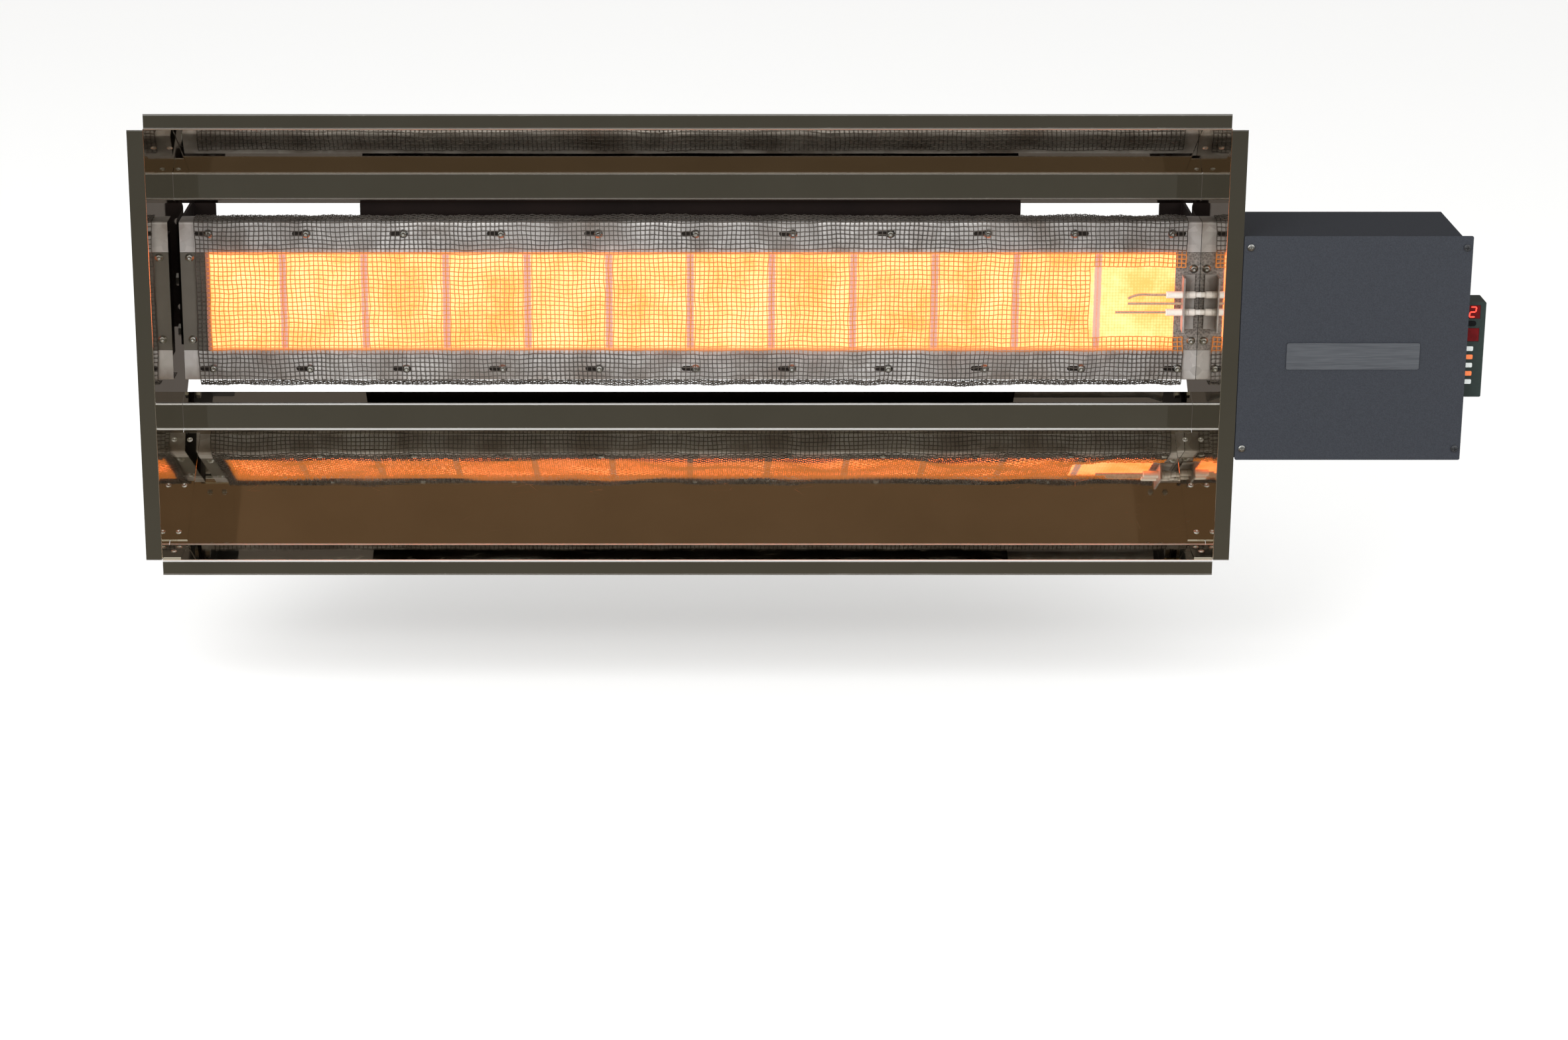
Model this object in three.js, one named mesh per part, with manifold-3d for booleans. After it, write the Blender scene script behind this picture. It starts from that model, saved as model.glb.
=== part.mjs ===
// Infrared gas heater: a mirror-steel reflector around a long burner of glowing
// ceramic plaques, with a control box on its right end. It hangs between two
// wall brackets and tilts face-down about their pivot bolts.
//
// Millimetres, +Z up, and the heater faces -Y. Everything is modelled about the
// reflector: X runs along it from its middle, Y goes back from its front rim and
// Z goes up from its centre line. The burner and the fittings are drawn about the
// same line and then raised. The whole assembly is moved at the end, so that the
// origin is the middle of the left bracket's wall face.

import * as THREE from 'three';
import { mergeVertices } from 'three/addons/utils/BufferGeometryUtils.js';
import Module from 'manifold-3d';

const wasm = await Module();
wasm.setup();

// ------------------------------------------------------------- driving sizes

// Gap left between two pieces that touch or lie against each other.
const GAP = 0.3;

// Reflector: one half's profile runs rim, mouth, flare, throat, band and lip.
const REFLECTOR_LENGTH = 1175;
const REFLECTOR_SHEET = 1;
const MOUTH_HALF_HEIGHT = 244;
const MOUTH_DEPTH = 57.5;
const THROAT_DEPTH = 209.5;
const BAND_HEIGHT = 31;
const LIP_DEPTH = 21;
const LIP_DROP = 8.5;
const RIM_WIDTH = 17.5;
const REFLECTOR_BEND = 2;

// End panels: their front rim, rear edge, and the riveted tabs on the flares.
const END_RIM_WIDTH = 18;
const END_PANEL_BEHIND_BURNER = 89;
const END_PANEL_REAR_HALF_HEIGHT = 97;
const TAB_WIDTH = 20;
const TAB_END_GAP = 6;

// Plaques and the burner around them.
const TILE_COUNT = 12;
const TILE_HEIGHT = 132;
const TILE_THICKNESS = 13;
const TILE_SPACING_GAP = 1.5;
const TILE_OVERLAP = 8;
const ROW_END_MARGIN = 23;
const BURNER_LEFT_GAP = 6.7;
const BURNER_AHEAD = 15.2;
const BURNER_RISE = 5.2;
const LIP_TO_RAIL = 19.1;
const RAIL_BORDER = 27.4;
const RAIL_SHEET = 1;
const RAIL_DEPTH = 30;
const RAIL_BEND = 2.5;
const SLOT_COUNT = 11;
const SLOT_ROW_END = 27.5;
const SLOT_LENGTH = 20;
const SLOT_HEIGHT = 6;
const END_PLATE_OVERLAP = 5;
const GASKET_RING = 4.5;
const CASING_SHEET = 1;
const CASING_DEPTH = 46;
const CASING_LEDGE = 9;
const PORT_LENGTH = 300;
const PORT_HEIGHT = 80;

// Wire screen over the plaques.
const SCREEN_THICKNESS = 1.2;
const SCREEN_LEFT_INSET = 15.8;
const SCREEN_RIGHT_INSET = 15.2;
const SCREEN_EDGE_RISE = 3.8;
const SCREEN_EDGE_TURN = 24;
const SCREEN_BEND = 2;
const SCREEN_WINDOW_LENGTH = 125;
const SCREEN_WINDOW_HEIGHT = 75;

// Mixing chamber, venturi and injector behind the burner.
const CHAMBER_LENGTH = 762;
const CHAMBER_HEIGHT = 212;
const CHAMBER_DEPTH = 47;
const CHAMBER_SHEET = 1.2;
const VENTURI_RADIUS = 17;
const VENTURI_WALL = 1.5;
const VENTURI_BELL_RADIUS = 22;
const VENTURI_BEHIND_CASING = 23.7;
const VENTURI_Z = -78;
const VENTURI_END_GAP = 27.5;
const VENTURI_IN_CHAMBER = 15;
const VENTURI_BELL_LENGTH = 15;
const INJECTOR_RADIUS = 7;
const INJECTOR_NOSE = 15;
const INJECTOR_NECK = 3;
const INJECTOR_TAPER = 5;
const INJECTOR_HEX = 11;
const INJECTOR_JET_RADIUS = 1;
const INJECTOR_SUPPLY_RADIUS = 3.5;
const PIPE_RADIUS = 6;
const PIPE_BEND = 25;

// Electrode group at the burner's right end.
const ELECTRODE_STANDOFF = 10;
const ELECTRODE_SPACING = 10.3;
const ELECTRODE_ROD_RADIUS = 1.5;
const ELECTRODE_BRACKET_INSET = 20.5;
const ELECTRODE_BRACKET_HEIGHT = 64;
const ELECTRODE_BRACKET_SHEET = 2;
const ELECTRODE_BRACKET_FOOT = 15;
const ELECTRODE_BRACKET_REACH = 20;
const INSULATOR_RADIUS = 4.2;
const INSULATOR_FRONT = 18.5;
const INSULATOR_BACK = 5;
const INSULATOR_CHAMFER = 0.8;
const SPARK_REACH = 62;
const SENSOR_REACH = 76;
const EARTH_REACH = 62;
const SPARK_TIP_DROP = 4.5;
const SPARK_TIP_BEND = 12;
const BOOT_RADIUS = 4.2;
const BOOT_WAIST_RADIUS = 3.2;
const BOOT_WAIST_START = 7;
const BOOT_WAIST_END = 18;
const BOOT_TAPER = 2;
const BOOT_SOCKET = 6;
const BOOT_LENGTH = 26;
const BOOT_HOLE_MARGIN = 0.8;
const LEAD_RADIUS = 2.5;
const LEAD_HOLE_MARGIN = 2.5;
const LEAD_HOLE_FROM_PANEL = 40;
const LEAD_BEND = 26;
const LEAD_TO_CONTROLLER = 15;

// Control box on the right end panel.
const COVER_WIDTH = 249.5;
const COVER_HEIGHT = 254;
const COVER_SHEET = 1.2;
const COVER_CORNER = 2;
const COVER_OVERHANG = 10;
const COVER_LIP = 2.5;
const COVER_TO_RIM = 1;
const BOX_DEPTH = 130.7;
const BOX_SHEET = 1.2;
const BOX_FLANGE = 9;
const BOX_LEFT_FLANGE = 32;
const SCREW_LEFT_INSET = 7.5;
const SCREW_RIGHT_INSET = 6.5;
const SCREW_TOP_INSET = 13;
const SCREW_RADIUS = 1.7;
const SCREW_HEAD_RADIUS = 4;
const SCREW_HEAD_HEIGHT = 2.4;
const SCREW_RIM = 0.9;
const SCREW_LENGTH = 8;
const CROSS_LENGTH = 4.2;
const CROSS_WIDTH = 0.9;
const CROSS_DEPTH = 1.5;
const BADGE_WIDTH = 146;
const BADGE_HEIGHT = 30;
const BADGE_THICKNESS = 1;
const BADGE_BELOW_MIDDLE = 8;

// Gas valve, ignition controller and terminals inside the box.
const VALVE_WIDTH = 80;
const VALVE_HEIGHT = 44;
const VALVE_DEPTH = 50;
const VALVE_WALL_GAP = 36;
const VALVE_LEFT_GAP = 30;
const VALVE_BORE_RADIUS = 6.2;
const VALVE_BORE_DEPTH = 24;
const VALVE_PASSAGE_RADIUS = 4;
const VALVE_PORT_INSET = 20;
const COIL_RADIUS = 18;
const COIL_HEIGHT = 42;
const COIL_BORE_DEPTH = 30;
const PLUNGER_CLEARANCE = 0.4;
const PLUNGER_LENGTH = 40;
const INLET_RADIUS = 10.5;
const INLET_BORE_RADIUS = 7.5;
const INLET_STICK_OUT = 25;
const INLET_NUT_RADIUS = 15;
const INLET_NUT_WIDTH = 10;
const GLAND_RADIUS = 8;
const GLAND_BORE_RADIUS = 3.6;
const GLAND_LENGTH = 22;
const GLAND_NUT_RADIUS = 11;
const GLAND_NUT_WIDTH = 8;
const GLAND_INSET = 35;
const GLAND_INSIDE = 8;
const CONTROLLER_WIDTH = 90;
const CONTROLLER_HEIGHT = 60;
const CONTROLLER_DEPTH = 36;
const CONTROLLER_TOP_GAP = 42;
const CONTROLLER_SIDE_GAP = 15;
const CONTROLLER_CORNER = 3;
const TERMINAL_WIDTH = 62;
const TERMINAL_HEIGHT = 18;
const TERMINAL_DEPTH = 22;
const TERMINAL_WAYS = 6;
const TERMINAL_TOP_GAP = 12;
const TERMINAL_GROOVE_WIDTH = 1.6;
const TERMINAL_GROOVE_DEPTH = 6;

// Display module on the control box's right side.
const DISPLAY_WIDTH = 31.5;
const DISPLAY_HEIGHT = 108;
const DISPLAY_DEPTH = 32;
const DISPLAY_SETBACK = 15;
const DISPLAY_TOP = 49.5;
const DISPLAY_CORNER = 1.5;
const WINDOW_WIDTH = 19;
const WINDOW_HEIGHT = 14.6;
const WINDOW_RECESS = 1.6;
const UPPER_WINDOW_DROP = 4;
const LOWER_WINDOW_DROP = 29.8;

// Wall brackets, their pivots, and the bolts that lock the tilt.
const BRACKET_SHEET = 3;
const BRACKET_FOOT = 30;
const BRACKET_HEIGHT = 152;
const BRACKET_CORNER = 4;
const BRACKET_BEND = 5;
const BRACKET_FRONT_GAP = 3.7;
const PIVOT_BEHIND_CASING = 26.7;
const PIVOT_Z = 13.2;
const BRACKET_RELIEF_REACH = 50;
const PIVOT_TO_WALL = 77;
const BOLT_RADIUS = 4;
const BOLT_HOLE_RADIUS = 4.4;
const BOLT_HEAD_RADIUS = 7.5;
const BOLT_HEAD_HEIGHT = 5.3;
const NUT_HEIGHT = 6.5;
const BOLT_STICK_OUT = 1.5;
const LOCK_TO_BRACKET_EDGE = 15;
const TILT_RANGE = THREE.MathUtils.degToRad(25);
const TILT_SLOT_MARGIN = THREE.MathUtils.degToRad(1.5);
const WALL_HOLE_RADIUS = 4.5;
const WALL_HOLE_END_INSET = 24;

// ------------------------------------------------------------- worked-out places

const HALF_LENGTH = REFLECTOR_LENGTH / 2;
const END_OUTER_X = HALF_LENGTH + REFLECTOR_SHEET;

const BURNER_LENGTH = REFLECTOR_LENGTH - BURNER_LEFT_GAP - GAP;
const BURNER_LEFT = -HALF_LENGTH + BURNER_LEFT_GAP;
const BURNER_RIGHT = BURNER_LEFT + BURNER_LENGTH;
const BURNER_MIDDLE = (BURNER_LEFT + BURNER_RIGHT) / 2;
const BURNER_FRONT = THROAT_DEPTH - BURNER_AHEAD;
const TILE_PITCH = (BURNER_LENGTH - 2 * ROW_END_MARGIN) / TILE_COUNT;
const TILE_FRONT = BURNER_FRONT + RAIL_SHEET + GAP;
const GLOW_HALF_HEIGHT = TILE_HEIGHT / 2 - TILE_OVERLAP;
const RAIL_HALF_HEIGHT = TILE_HEIGHT / 2 + RAIL_BORDER;
const LIP_HALF_HEIGHT = RAIL_HALF_HEIGHT + LIP_TO_RAIL;
const BAND_HALF_HEIGHT = LIP_HALF_HEIGHT + LIP_DROP;
const THROAT_HALF_HEIGHT = BAND_HALF_HEIGHT + BAND_HEIGHT;
const END_PANEL_DEPTH = BURNER_FRONT + END_PANEL_BEHIND_BURNER;

const CASING_FRONT = BURNER_FRONT + RAIL_SHEET + GAP;
const CASING_BACK = CASING_FRONT + CASING_DEPTH;
const CASING_HALF_HEIGHT = TILE_HEIGHT / 2 + GASKET_RING + GAP + CASING_SHEET;
const CASING_HALF_LENGTH = BURNER_LENGTH / 2 - BRACKET_SHEET - 2 * GAP;
const CHAMBER_FRONT = CASING_BACK + GAP;
const CHAMBER_BACK = CHAMBER_FRONT + CHAMBER_DEPTH;
const VENTURI_Y = CASING_BACK + VENTURI_BEHIND_CASING;
const FITTINGS_Z = VENTURI_Z + BURNER_RISE;
const INJECTOR_END_X = END_OUTER_X + GAP + INJECTOR_HEX;

const ELECTRODE_Y = BURNER_FRONT - ELECTRODE_STANDOFF;
const ELECTRODE_BRACKET_X = BURNER_RIGHT - ELECTRODE_BRACKET_INSET;

const COVER_LEFT = HALF_LENGTH + END_RIM_WIDTH + COVER_TO_RIM;
const COVER_RIGHT = COVER_LEFT + COVER_WIDTH;
const BOX_LEFT = END_OUTER_X + GAP;
const BOX_RIGHT = COVER_RIGHT - COVER_OVERHANG;
const BOX_FRONT = COVER_SHEET + GAP;
const BOX_BACK = BOX_FRONT + BOX_DEPTH;
const BOX_HALF_HEIGHT = COVER_HEIGHT / 2 - COVER_LIP;

const VALVE_BACK = BOX_BACK - BOX_SHEET - VALVE_WALL_GAP;
const VALVE_LEFT = BOX_LEFT + VALVE_LEFT_GAP;
const VALVE_TOP = VENTURI_Z + VALVE_HEIGHT / 2;
const VALVE_BORE_X = VALVE_LEFT + VALVE_WIDTH / 2;
const VALVE_BORE_Y = VALVE_BACK - VALVE_DEPTH / 2;
const OUTLET_X = VALVE_LEFT + VALVE_PORT_INSET;
const INLET_X = VALVE_LEFT + VALVE_WIDTH - VALVE_PORT_INSET;
const GLAND_X = BOX_RIGHT - GLAND_INSET;
const CONTROLLER_RIGHT = BOX_RIGHT - CONTROLLER_SIDE_GAP;
const CONTROLLER_LEFT = CONTROLLER_RIGHT - CONTROLLER_WIDTH;
const CONTROLLER_Z = BOX_HALF_HEIGHT - CONTROLLER_TOP_GAP - CONTROLLER_HEIGHT / 2;
const LEAD_HOLE_X = END_OUTER_X + LEAD_HOLE_FROM_PANEL;

const PIVOT_Y = CASING_BACK + PIVOT_BEHIND_CASING;
const WALL_Y = PIVOT_Y + PIVOT_TO_WALL;
const BRACKET_OUTER_X = HALF_LENGTH - GAP;
const BRACKET_FACE_X = BRACKET_OUTER_X - BRACKET_FOOT / 2;
const LOCK_RADIUS = BRACKET_HEIGHT / 2 - LOCK_TO_BRACKET_EDGE;
const WALL_HOLE_SPACING = BRACKET_HEIGHT - 2 * WALL_HOLE_END_INSET;

// ------------------------------------------------------------- finishes

const finish = (color, roughness, metalness) => (
  () => new THREE.MeshStandardMaterial({ color, roughness, metalness })
);
const mirrorSteel = finish(0x8d8b80, 0.08, 1);
const galvanisedSteel = finish(0xa9a8a6, 0.45, 1);
const zincSteel = finish(0xb9bcc0, 0.3, 1);
const stainlessWire = finish(0xc4bfb8, 0.3, 1);
const glowingCeramic = () => new THREE.MeshStandardMaterial({
  color: 0xffe9b0,
  emissive: 0xff9a3c,
  roughness: 0.9,
  metalness: 0,
});
const fibrePaper = finish(0xd98a70, 0.95, 0);
const blackPaint = finish(0x16110f, 0.5, 0);
const anthracitePaint = finish(0x3e4347, 0.55, 0);
const brass = finish(0xb98d3e, 0.35, 1);
const alumina = finish(0xece7de, 0.4, 0);
const siliconeSleeve = finish(0xe9e3dc, 0.5, 0);
const kanthal = finish(0x8a7a6c, 0.4, 1);
const coilResin = finish(0x1d1f22, 0.4, 0);
const castAluminium = finish(0xa4a6a8, 0.5, 1);
const controllerPlastic = finish(0x2b2d30, 0.5, 0);
const terminalPlastic = finish(0xd8d4c4, 0.5, 0);
const displayPlastic = finish(0x33403e, 0.4, 0);
const redAcrylic = finish(0x7c0a10, 0.15, 0);
const badgeSteel = finish(0x767b80, 0.35, 1);
const copper = finish(0xb0694a, 0.3, 1);

// ------------------------------------------------------------- solids and shapes

const AXIS_X = new THREE.Vector3(1, 0, 0);
const AXIS_Y = new THREE.Vector3(0, 1, 0);
const AXIS_Z = new THREE.Vector3(0, 0, 1);

// A closed geometry as a solid that can be joined and cut. A full circle repeats its
// first point, and the triangles of no area that this leaves are dropped.
function solidOf(geometry) {
  const bare = geometry.clone();
  bare.deleteAttribute('normal');
  bare.deleteAttribute('uv');
  const merged = mergeVertices(bare);
  const index = merged.index.array;
  const triangles = [];
  for (let i = 0; i < index.length; i += 3) {
    const [a, b, c] = [index[i], index[i + 1], index[i + 2]];
    if (a !== b && b !== c && c !== a) triangles.push(a, b, c);
  }
  return new wasm.Manifold(new wasm.Mesh({
    numProp: 3,
    vertProperties: new Float32Array(merged.attributes.position.array),
    triVerts: new Uint32Array(triangles),
  }));
}

function geometryOf(solid) {
  const mesh = solid.getMesh();
  const geometry = new THREE.BufferGeometry();
  geometry.setAttribute('position', new THREE.BufferAttribute(mesh.vertProperties, 3));
  geometry.setIndex(new THREE.BufferAttribute(mesh.triVerts, 1));
  geometry.computeVertexNormals();
  return geometry;
}

function join(first, ...others) {
  return geometryOf(others.reduce((sum, one) => sum.add(solidOf(one)), solidOf(first)));
}

function cut(body, ...tools) {
  return geometryOf(tools.reduce((rest, one) => rest.subtract(solidOf(one)), solidOf(body)));
}

function common(first, ...others) {
  return geometryOf(others.reduce((rest, one) => rest.intersect(solidOf(one)), solidOf(first)));
}

const point = (u, v) => new THREE.Vector2(u, v);

// Extrusions of a flat shape: (Y, Z) along X, (X, Z) along Y, and (X, Y) along Z.
function alongX(shape, low, high, curveSegments = 6) {
  const geometry = new THREE.ExtrudeGeometry(shape, {
    depth: high - low,
    bevelEnabled: false,
    curveSegments,
  });
  geometry.applyMatrix4(new THREE.Matrix4().makeBasis(AXIS_Y, AXIS_Z, AXIS_X));
  return geometry.translate(low, 0, 0);
}

function alongY(shape, low, high, curveSegments = 6) {
  const geometry = new THREE.ExtrudeGeometry(shape, {
    depth: high - low,
    bevelEnabled: false,
    curveSegments,
  });
  geometry.applyMatrix4(new THREE.Matrix4().makeBasis(AXIS_X, AXIS_Z, AXIS_Y.clone().negate()));
  return geometry.translate(0, high, 0);
}

function alongZ(shape, low, high, curveSegments = 6) {
  const geometry = new THREE.ExtrudeGeometry(shape, {
    depth: high - low,
    bevelEnabled: false,
    curveSegments,
  });
  return geometry.translate(0, 0, low);
}

function boxBetween(lowX, highX, lowY, highY, lowZ, highZ) {
  const geometry = new THREE.BoxGeometry(highX - lowX, highY - lowY, highZ - lowZ);
  return geometry.translate((lowX + highX) / 2, (lowY + highY) / 2, (lowZ + highZ) / 2);
}

function roundedRectangle(low, high, radius) {
  const shape = new THREE.Shape();
  shape.absarc(high.x - radius, high.y - radius, radius, 0, Math.PI / 2);
  shape.absarc(low.x + radius, high.y - radius, radius, Math.PI / 2, Math.PI);
  shape.absarc(low.x + radius, low.y + radius, radius, Math.PI, Math.PI * 1.5);
  shape.absarc(high.x - radius, low.y + radius, radius, Math.PI * 1.5, Math.PI * 2);
  return shape;
}

function rectangle(low, high) {
  return new THREE.Shape([low, point(high.x, low.y), high, point(low.x, high.y)]);
}

function roundHole(u, v, radius) {
  return new THREE.Path().absarc(u, v, radius, 0, Math.PI * 2, false);
}

// Cylinders along X and Y between two ends.
function rodX(radius, low, high, y, z, sides = 16) {
  const geometry = new THREE.CylinderGeometry(radius, radius, high - low, sides);
  return geometry.rotateZ(Math.PI / 2).translate((low + high) / 2, y, z);
}

function rodY(radius, low, high, x, z, sides = 16) {
  const geometry = new THREE.CylinderGeometry(radius, radius, high - low, sides);
  return geometry.translate(x, (low + high) / 2, z);
}

// A path with each inner corner rounded off.
function roundedPath(corners, radius, steps = 3) {
  const path = [corners[0]];
  for (let i = 1; i < corners.length - 1; i += 1) {
    const back = corners[i - 1].clone().sub(corners[i]).normalize();
    const onward = corners[i + 1].clone().sub(corners[i]).normalize();
    const halfAngle = Math.acos(THREE.MathUtils.clamp(back.dot(onward), -1, 1)) / 2;
    const reach = radius / Math.tan(halfAngle);
    const start = corners[i].clone().addScaledVector(back, reach);
    const end = corners[i].clone().addScaledVector(onward, reach);
    path.push(...new THREE.QuadraticBezierCurve(start, corners[i], end).getPoints(steps));
  }
  path.push(corners.at(-1));
  return path;
}

// The cross-section of a sheet laid along the left-hand side of a path.
function sheetSection(path, thickness) {
  const farSide = path.map((here, i) => {
    const from = path[Math.max(i - 1, 0)];
    const to = path[Math.min(i + 1, path.length - 1)];
    const before = (i > 0 ? here.clone().sub(from) : to.clone().sub(here)).normalize();
    const after = (i < path.length - 1 ? to.clone().sub(here) : here.clone().sub(from)).normalize();
    const normalBefore = point(-before.y, before.x);
    const mitre = point(-before.y - after.y, before.x + after.x).normalize();
    return here.clone().addScaledVector(mitre, thickness / mitre.dot(normalBefore));
  });
  return new THREE.Shape([...path, ...farSide.reverse()]);
}

// The same path below the centre line, run the other way so its left is still outside.
const belowCentre = (path) => path.map((p) => point(p.x, -p.y)).reverse();

const heater = new THREE.Group();
const burner = new THREE.Group();
burner.position.z = BURNER_RISE;
const brackets = new THREE.Group();

function add(group, name, geometry, material) {
  const mesh = new THREE.Mesh(geometry, material);
  mesh.name = name;
  group.add(mesh);
  return mesh;
}

// ------------------------------------------------------------- reflector

// Top and bottom panels: rim strip, mouth, flare, band and the lip beside the burner.
function addReflectorPanels() {
  const corners = [
    point(0, MOUTH_HALF_HEIGHT + RIM_WIDTH),
    point(0, MOUTH_HALF_HEIGHT),
    point(MOUTH_DEPTH, MOUTH_HALF_HEIGHT),
    point(THROAT_DEPTH, THROAT_HALF_HEIGHT),
    point(THROAT_DEPTH, BAND_HALF_HEIGHT),
    point(THROAT_DEPTH + LIP_DEPTH, LIP_HALF_HEIGHT),
  ];
  const path = roundedPath(corners, REFLECTOR_BEND, 5);
  const ends = [-HALF_LENGTH + GAP, HALF_LENGTH - GAP];
  const top = sheetSection(path, REFLECTOR_SHEET);
  const bottom = sheetSection(belowCentre(path), REFLECTOR_SHEET);
  add(heater, 'reflector_top', alongX(top, ...ends), mirrorSteel());
  add(heater, 'reflector_bottom', alongX(bottom, ...ends), mirrorSteel());
}

function endPanelOutline() {
  const upper = [
    point(0, MOUTH_HALF_HEIGHT),
    point(MOUTH_DEPTH, MOUTH_HALF_HEIGHT),
    point(THROAT_DEPTH, THROAT_HALF_HEIGHT),
    point(END_PANEL_DEPTH, END_PANEL_REAR_HALF_HEIGHT),
  ];
  return new THREE.Shape([...upper, ...belowCentre(upper)]);
}

// A tab lies on the inside of a flare or of the mouth, between two profile points.
function tabSection(from, to) {
  const direction = to.clone().sub(from).normalize();
  const inward = point(direction.y, -direction.x);
  const start = from.clone().addScaledVector(direction, TAB_END_GAP).addScaledVector(inward, GAP);
  const end = to.clone().addScaledVector(direction, -TAB_END_GAP).addScaledVector(inward, GAP);
  return [
    start,
    end,
    end.clone().addScaledVector(inward, REFLECTOR_SHEET),
    start.clone().addScaledVector(inward, REFLECTOR_SHEET),
  ];
}

// Each end panel is one folded sheet: its side, its front rim and four riveted tabs.
function addEndPanel(name, side) {
  const inner = HALF_LENGTH;
  const mouth = point(0, MOUTH_HALF_HEIGHT);
  const flare = point(MOUTH_DEPTH, MOUTH_HALF_HEIGHT);
  const throat = point(THROAT_DEPTH, THROAT_HALF_HEIGHT);
  const outline = endPanelOutline();
  outline.holes.push(roundHole(PIVOT_Y, PIVOT_Z, BOLT_HOLE_RADIUS));
  outline.holes.push(roundHole(PIVOT_Y, PIVOT_Z - LOCK_RADIUS, BOLT_HOLE_RADIUS));
  if (side > 0) {
    outline.holes.push(roundHole(VENTURI_Y, FITTINGS_Z, INJECTOR_RADIUS + 1));
    for (const z of [BURNER_RISE + ELECTRODE_SPACING, BURNER_RISE - ELECTRODE_SPACING]) {
      outline.holes.push(roundHole(ELECTRODE_Y, z, BOOT_RADIUS + BOOT_HOLE_MARGIN));
    }
  }
  const fold = roundedPath([
    point(inner, END_PANEL_DEPTH),
    point(inner, 0),
    point(inner + END_RIM_WIDTH, 0),
  ], REFLECTOR_BEND, 5);
  const folded = common(
    alongZ(sheetSection(fold, REFLECTOR_SHEET), -MOUTH_HALF_HEIGHT, MOUTH_HALF_HEIGHT),
    alongX(outline, inner - 1, inner + END_RIM_WIDTH + 1),
  );
  const pieces = [folded];
  for (const corners of [tabSection(mouth, flare), tabSection(flare, throat)]) {
    for (const section of [corners, belowCentre(corners)]) {
      pieces.push(alongX(new THREE.Shape(section), inner - TAB_WIDTH, inner + REFLECTOR_SHEET / 2));
    }
  }
  const nuts = [PIVOT_Z, PIVOT_Z - LOCK_RADIUS].map((z) => (
    rodX(BOLT_HEAD_RADIUS, END_OUTER_X - REFLECTOR_SHEET / 2, END_OUTER_X + NUT_HEIGHT, PIVOT_Y, z, 6)
  ));
  const threads = [PIVOT_Z, PIVOT_Z - LOCK_RADIUS].map((z) => (
    rodX(BOLT_HOLE_RADIUS, inner - 1, END_OUTER_X + NUT_HEIGHT + 1, PIVOT_Y, z, 12)
  ));
  const panel = cut(join(...pieces, ...nuts), ...threads);
  add(heater, name, side > 0 ? panel : mirroredX(panel), mirrorSteel());
}

// The same piece on the other side of X = 0, with its faces still pointing out.
function mirroredX(geometry) {
  const mirrored = geometry.clone();
  mirrored.scale(-1, 1, 1);
  const index = mirrored.index.array;
  for (let i = 0; i < index.length; i += 3) {
    [index[i], index[i + 1]] = [index[i + 1], index[i]];
  }
  mirrored.computeVertexNormals();
  return mirrored;
}

// ------------------------------------------------------------- burner

function slotShape(x, z) {
  const reach = (SLOT_LENGTH - SLOT_HEIGHT) / 2;
  const shape = new THREE.Shape();
  shape.absarc(x + reach, z, SLOT_HEIGHT / 2, -Math.PI / 2, Math.PI / 2);
  shape.absarc(x - reach, z, SLOT_HEIGHT / 2, Math.PI / 2, Math.PI * 1.5);
  return shape;
}

// Angle rails that clamp the plaque row, slotted where the wire screen is screwed on.
function addRail(name, side) {
  const corners = [
    point(BURNER_FRONT + RAIL_DEPTH, RAIL_HALF_HEIGHT),
    point(BURNER_FRONT, RAIL_HALF_HEIGHT),
    point(BURNER_FRONT, GLOW_HALF_HEIGHT),
  ];
  const upper = roundedPath(corners, RAIL_BEND);
  const section = sheetSection(side > 0 ? upper : belowCentre(upper), RAIL_SHEET);
  const slotZ = side * (GLOW_HALF_HEIGHT + RAIL_HALF_HEIGHT + TILE_OVERLAP) / 2;
  const pitch = (BURNER_LENGTH - 2 * SLOT_ROW_END) / (SLOT_COUNT - 1);
  const slots = [];
  for (let i = 0; i < SLOT_COUNT; i += 1) {
    const x = BURNER_MIDDLE + pitch * (i - (SLOT_COUNT - 1) / 2);
    slots.push(alongY(slotShape(x, slotZ), BURNER_FRONT - 1, BURNER_FRONT + RAIL_SHEET + 1, 4));
  }
  const rail = alongX(section, BURNER_LEFT, BURNER_RIGHT);
  add(burner, name, cut(rail, ...slots), galvanisedSteel());
}

// Plates between the rails that cover the ends of the plaque row.
function addBurnerEnds() {
  const width = ROW_END_MARGIN + END_PLATE_OVERLAP;
  const half = GLOW_HALF_HEIGHT - GAP;
  const depth = [BURNER_FRONT, BURNER_FRONT + RAIL_SHEET];
  const left = rectangle(point(BURNER_LEFT, -half), point(BURNER_LEFT + width, half));
  const right = rectangle(point(BURNER_RIGHT - width, -half), point(BURNER_RIGHT, half));
  add(burner, 'burner_end_left', alongY(left, ...depth), galvanisedSteel());
  add(burner, 'burner_end_right', alongY(right, ...depth), galvanisedSteel());
}

function tileMiddle(i) {
  return BURNER_MIDDLE + TILE_PITCH * (i - (TILE_COUNT - 1) / 2);
}

function addTiles() {
  const halfWidth = (TILE_PITCH - TILE_SPACING_GAP) / 2;
  for (let i = 0; i < TILE_COUNT; i += 1) {
    const x = tileMiddle(i);
    const tile = boxBetween(
      x - halfWidth,
      x + halfWidth,
      TILE_FRONT,
      TILE_FRONT + TILE_THICKNESS,
      -TILE_HEIGHT / 2,
      TILE_HEIGHT / 2,
    );
    add(burner, `ceramic_tile_${String(i + 1).padStart(2, '0')}`, tile, glowingCeramic());
  }
}

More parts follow.
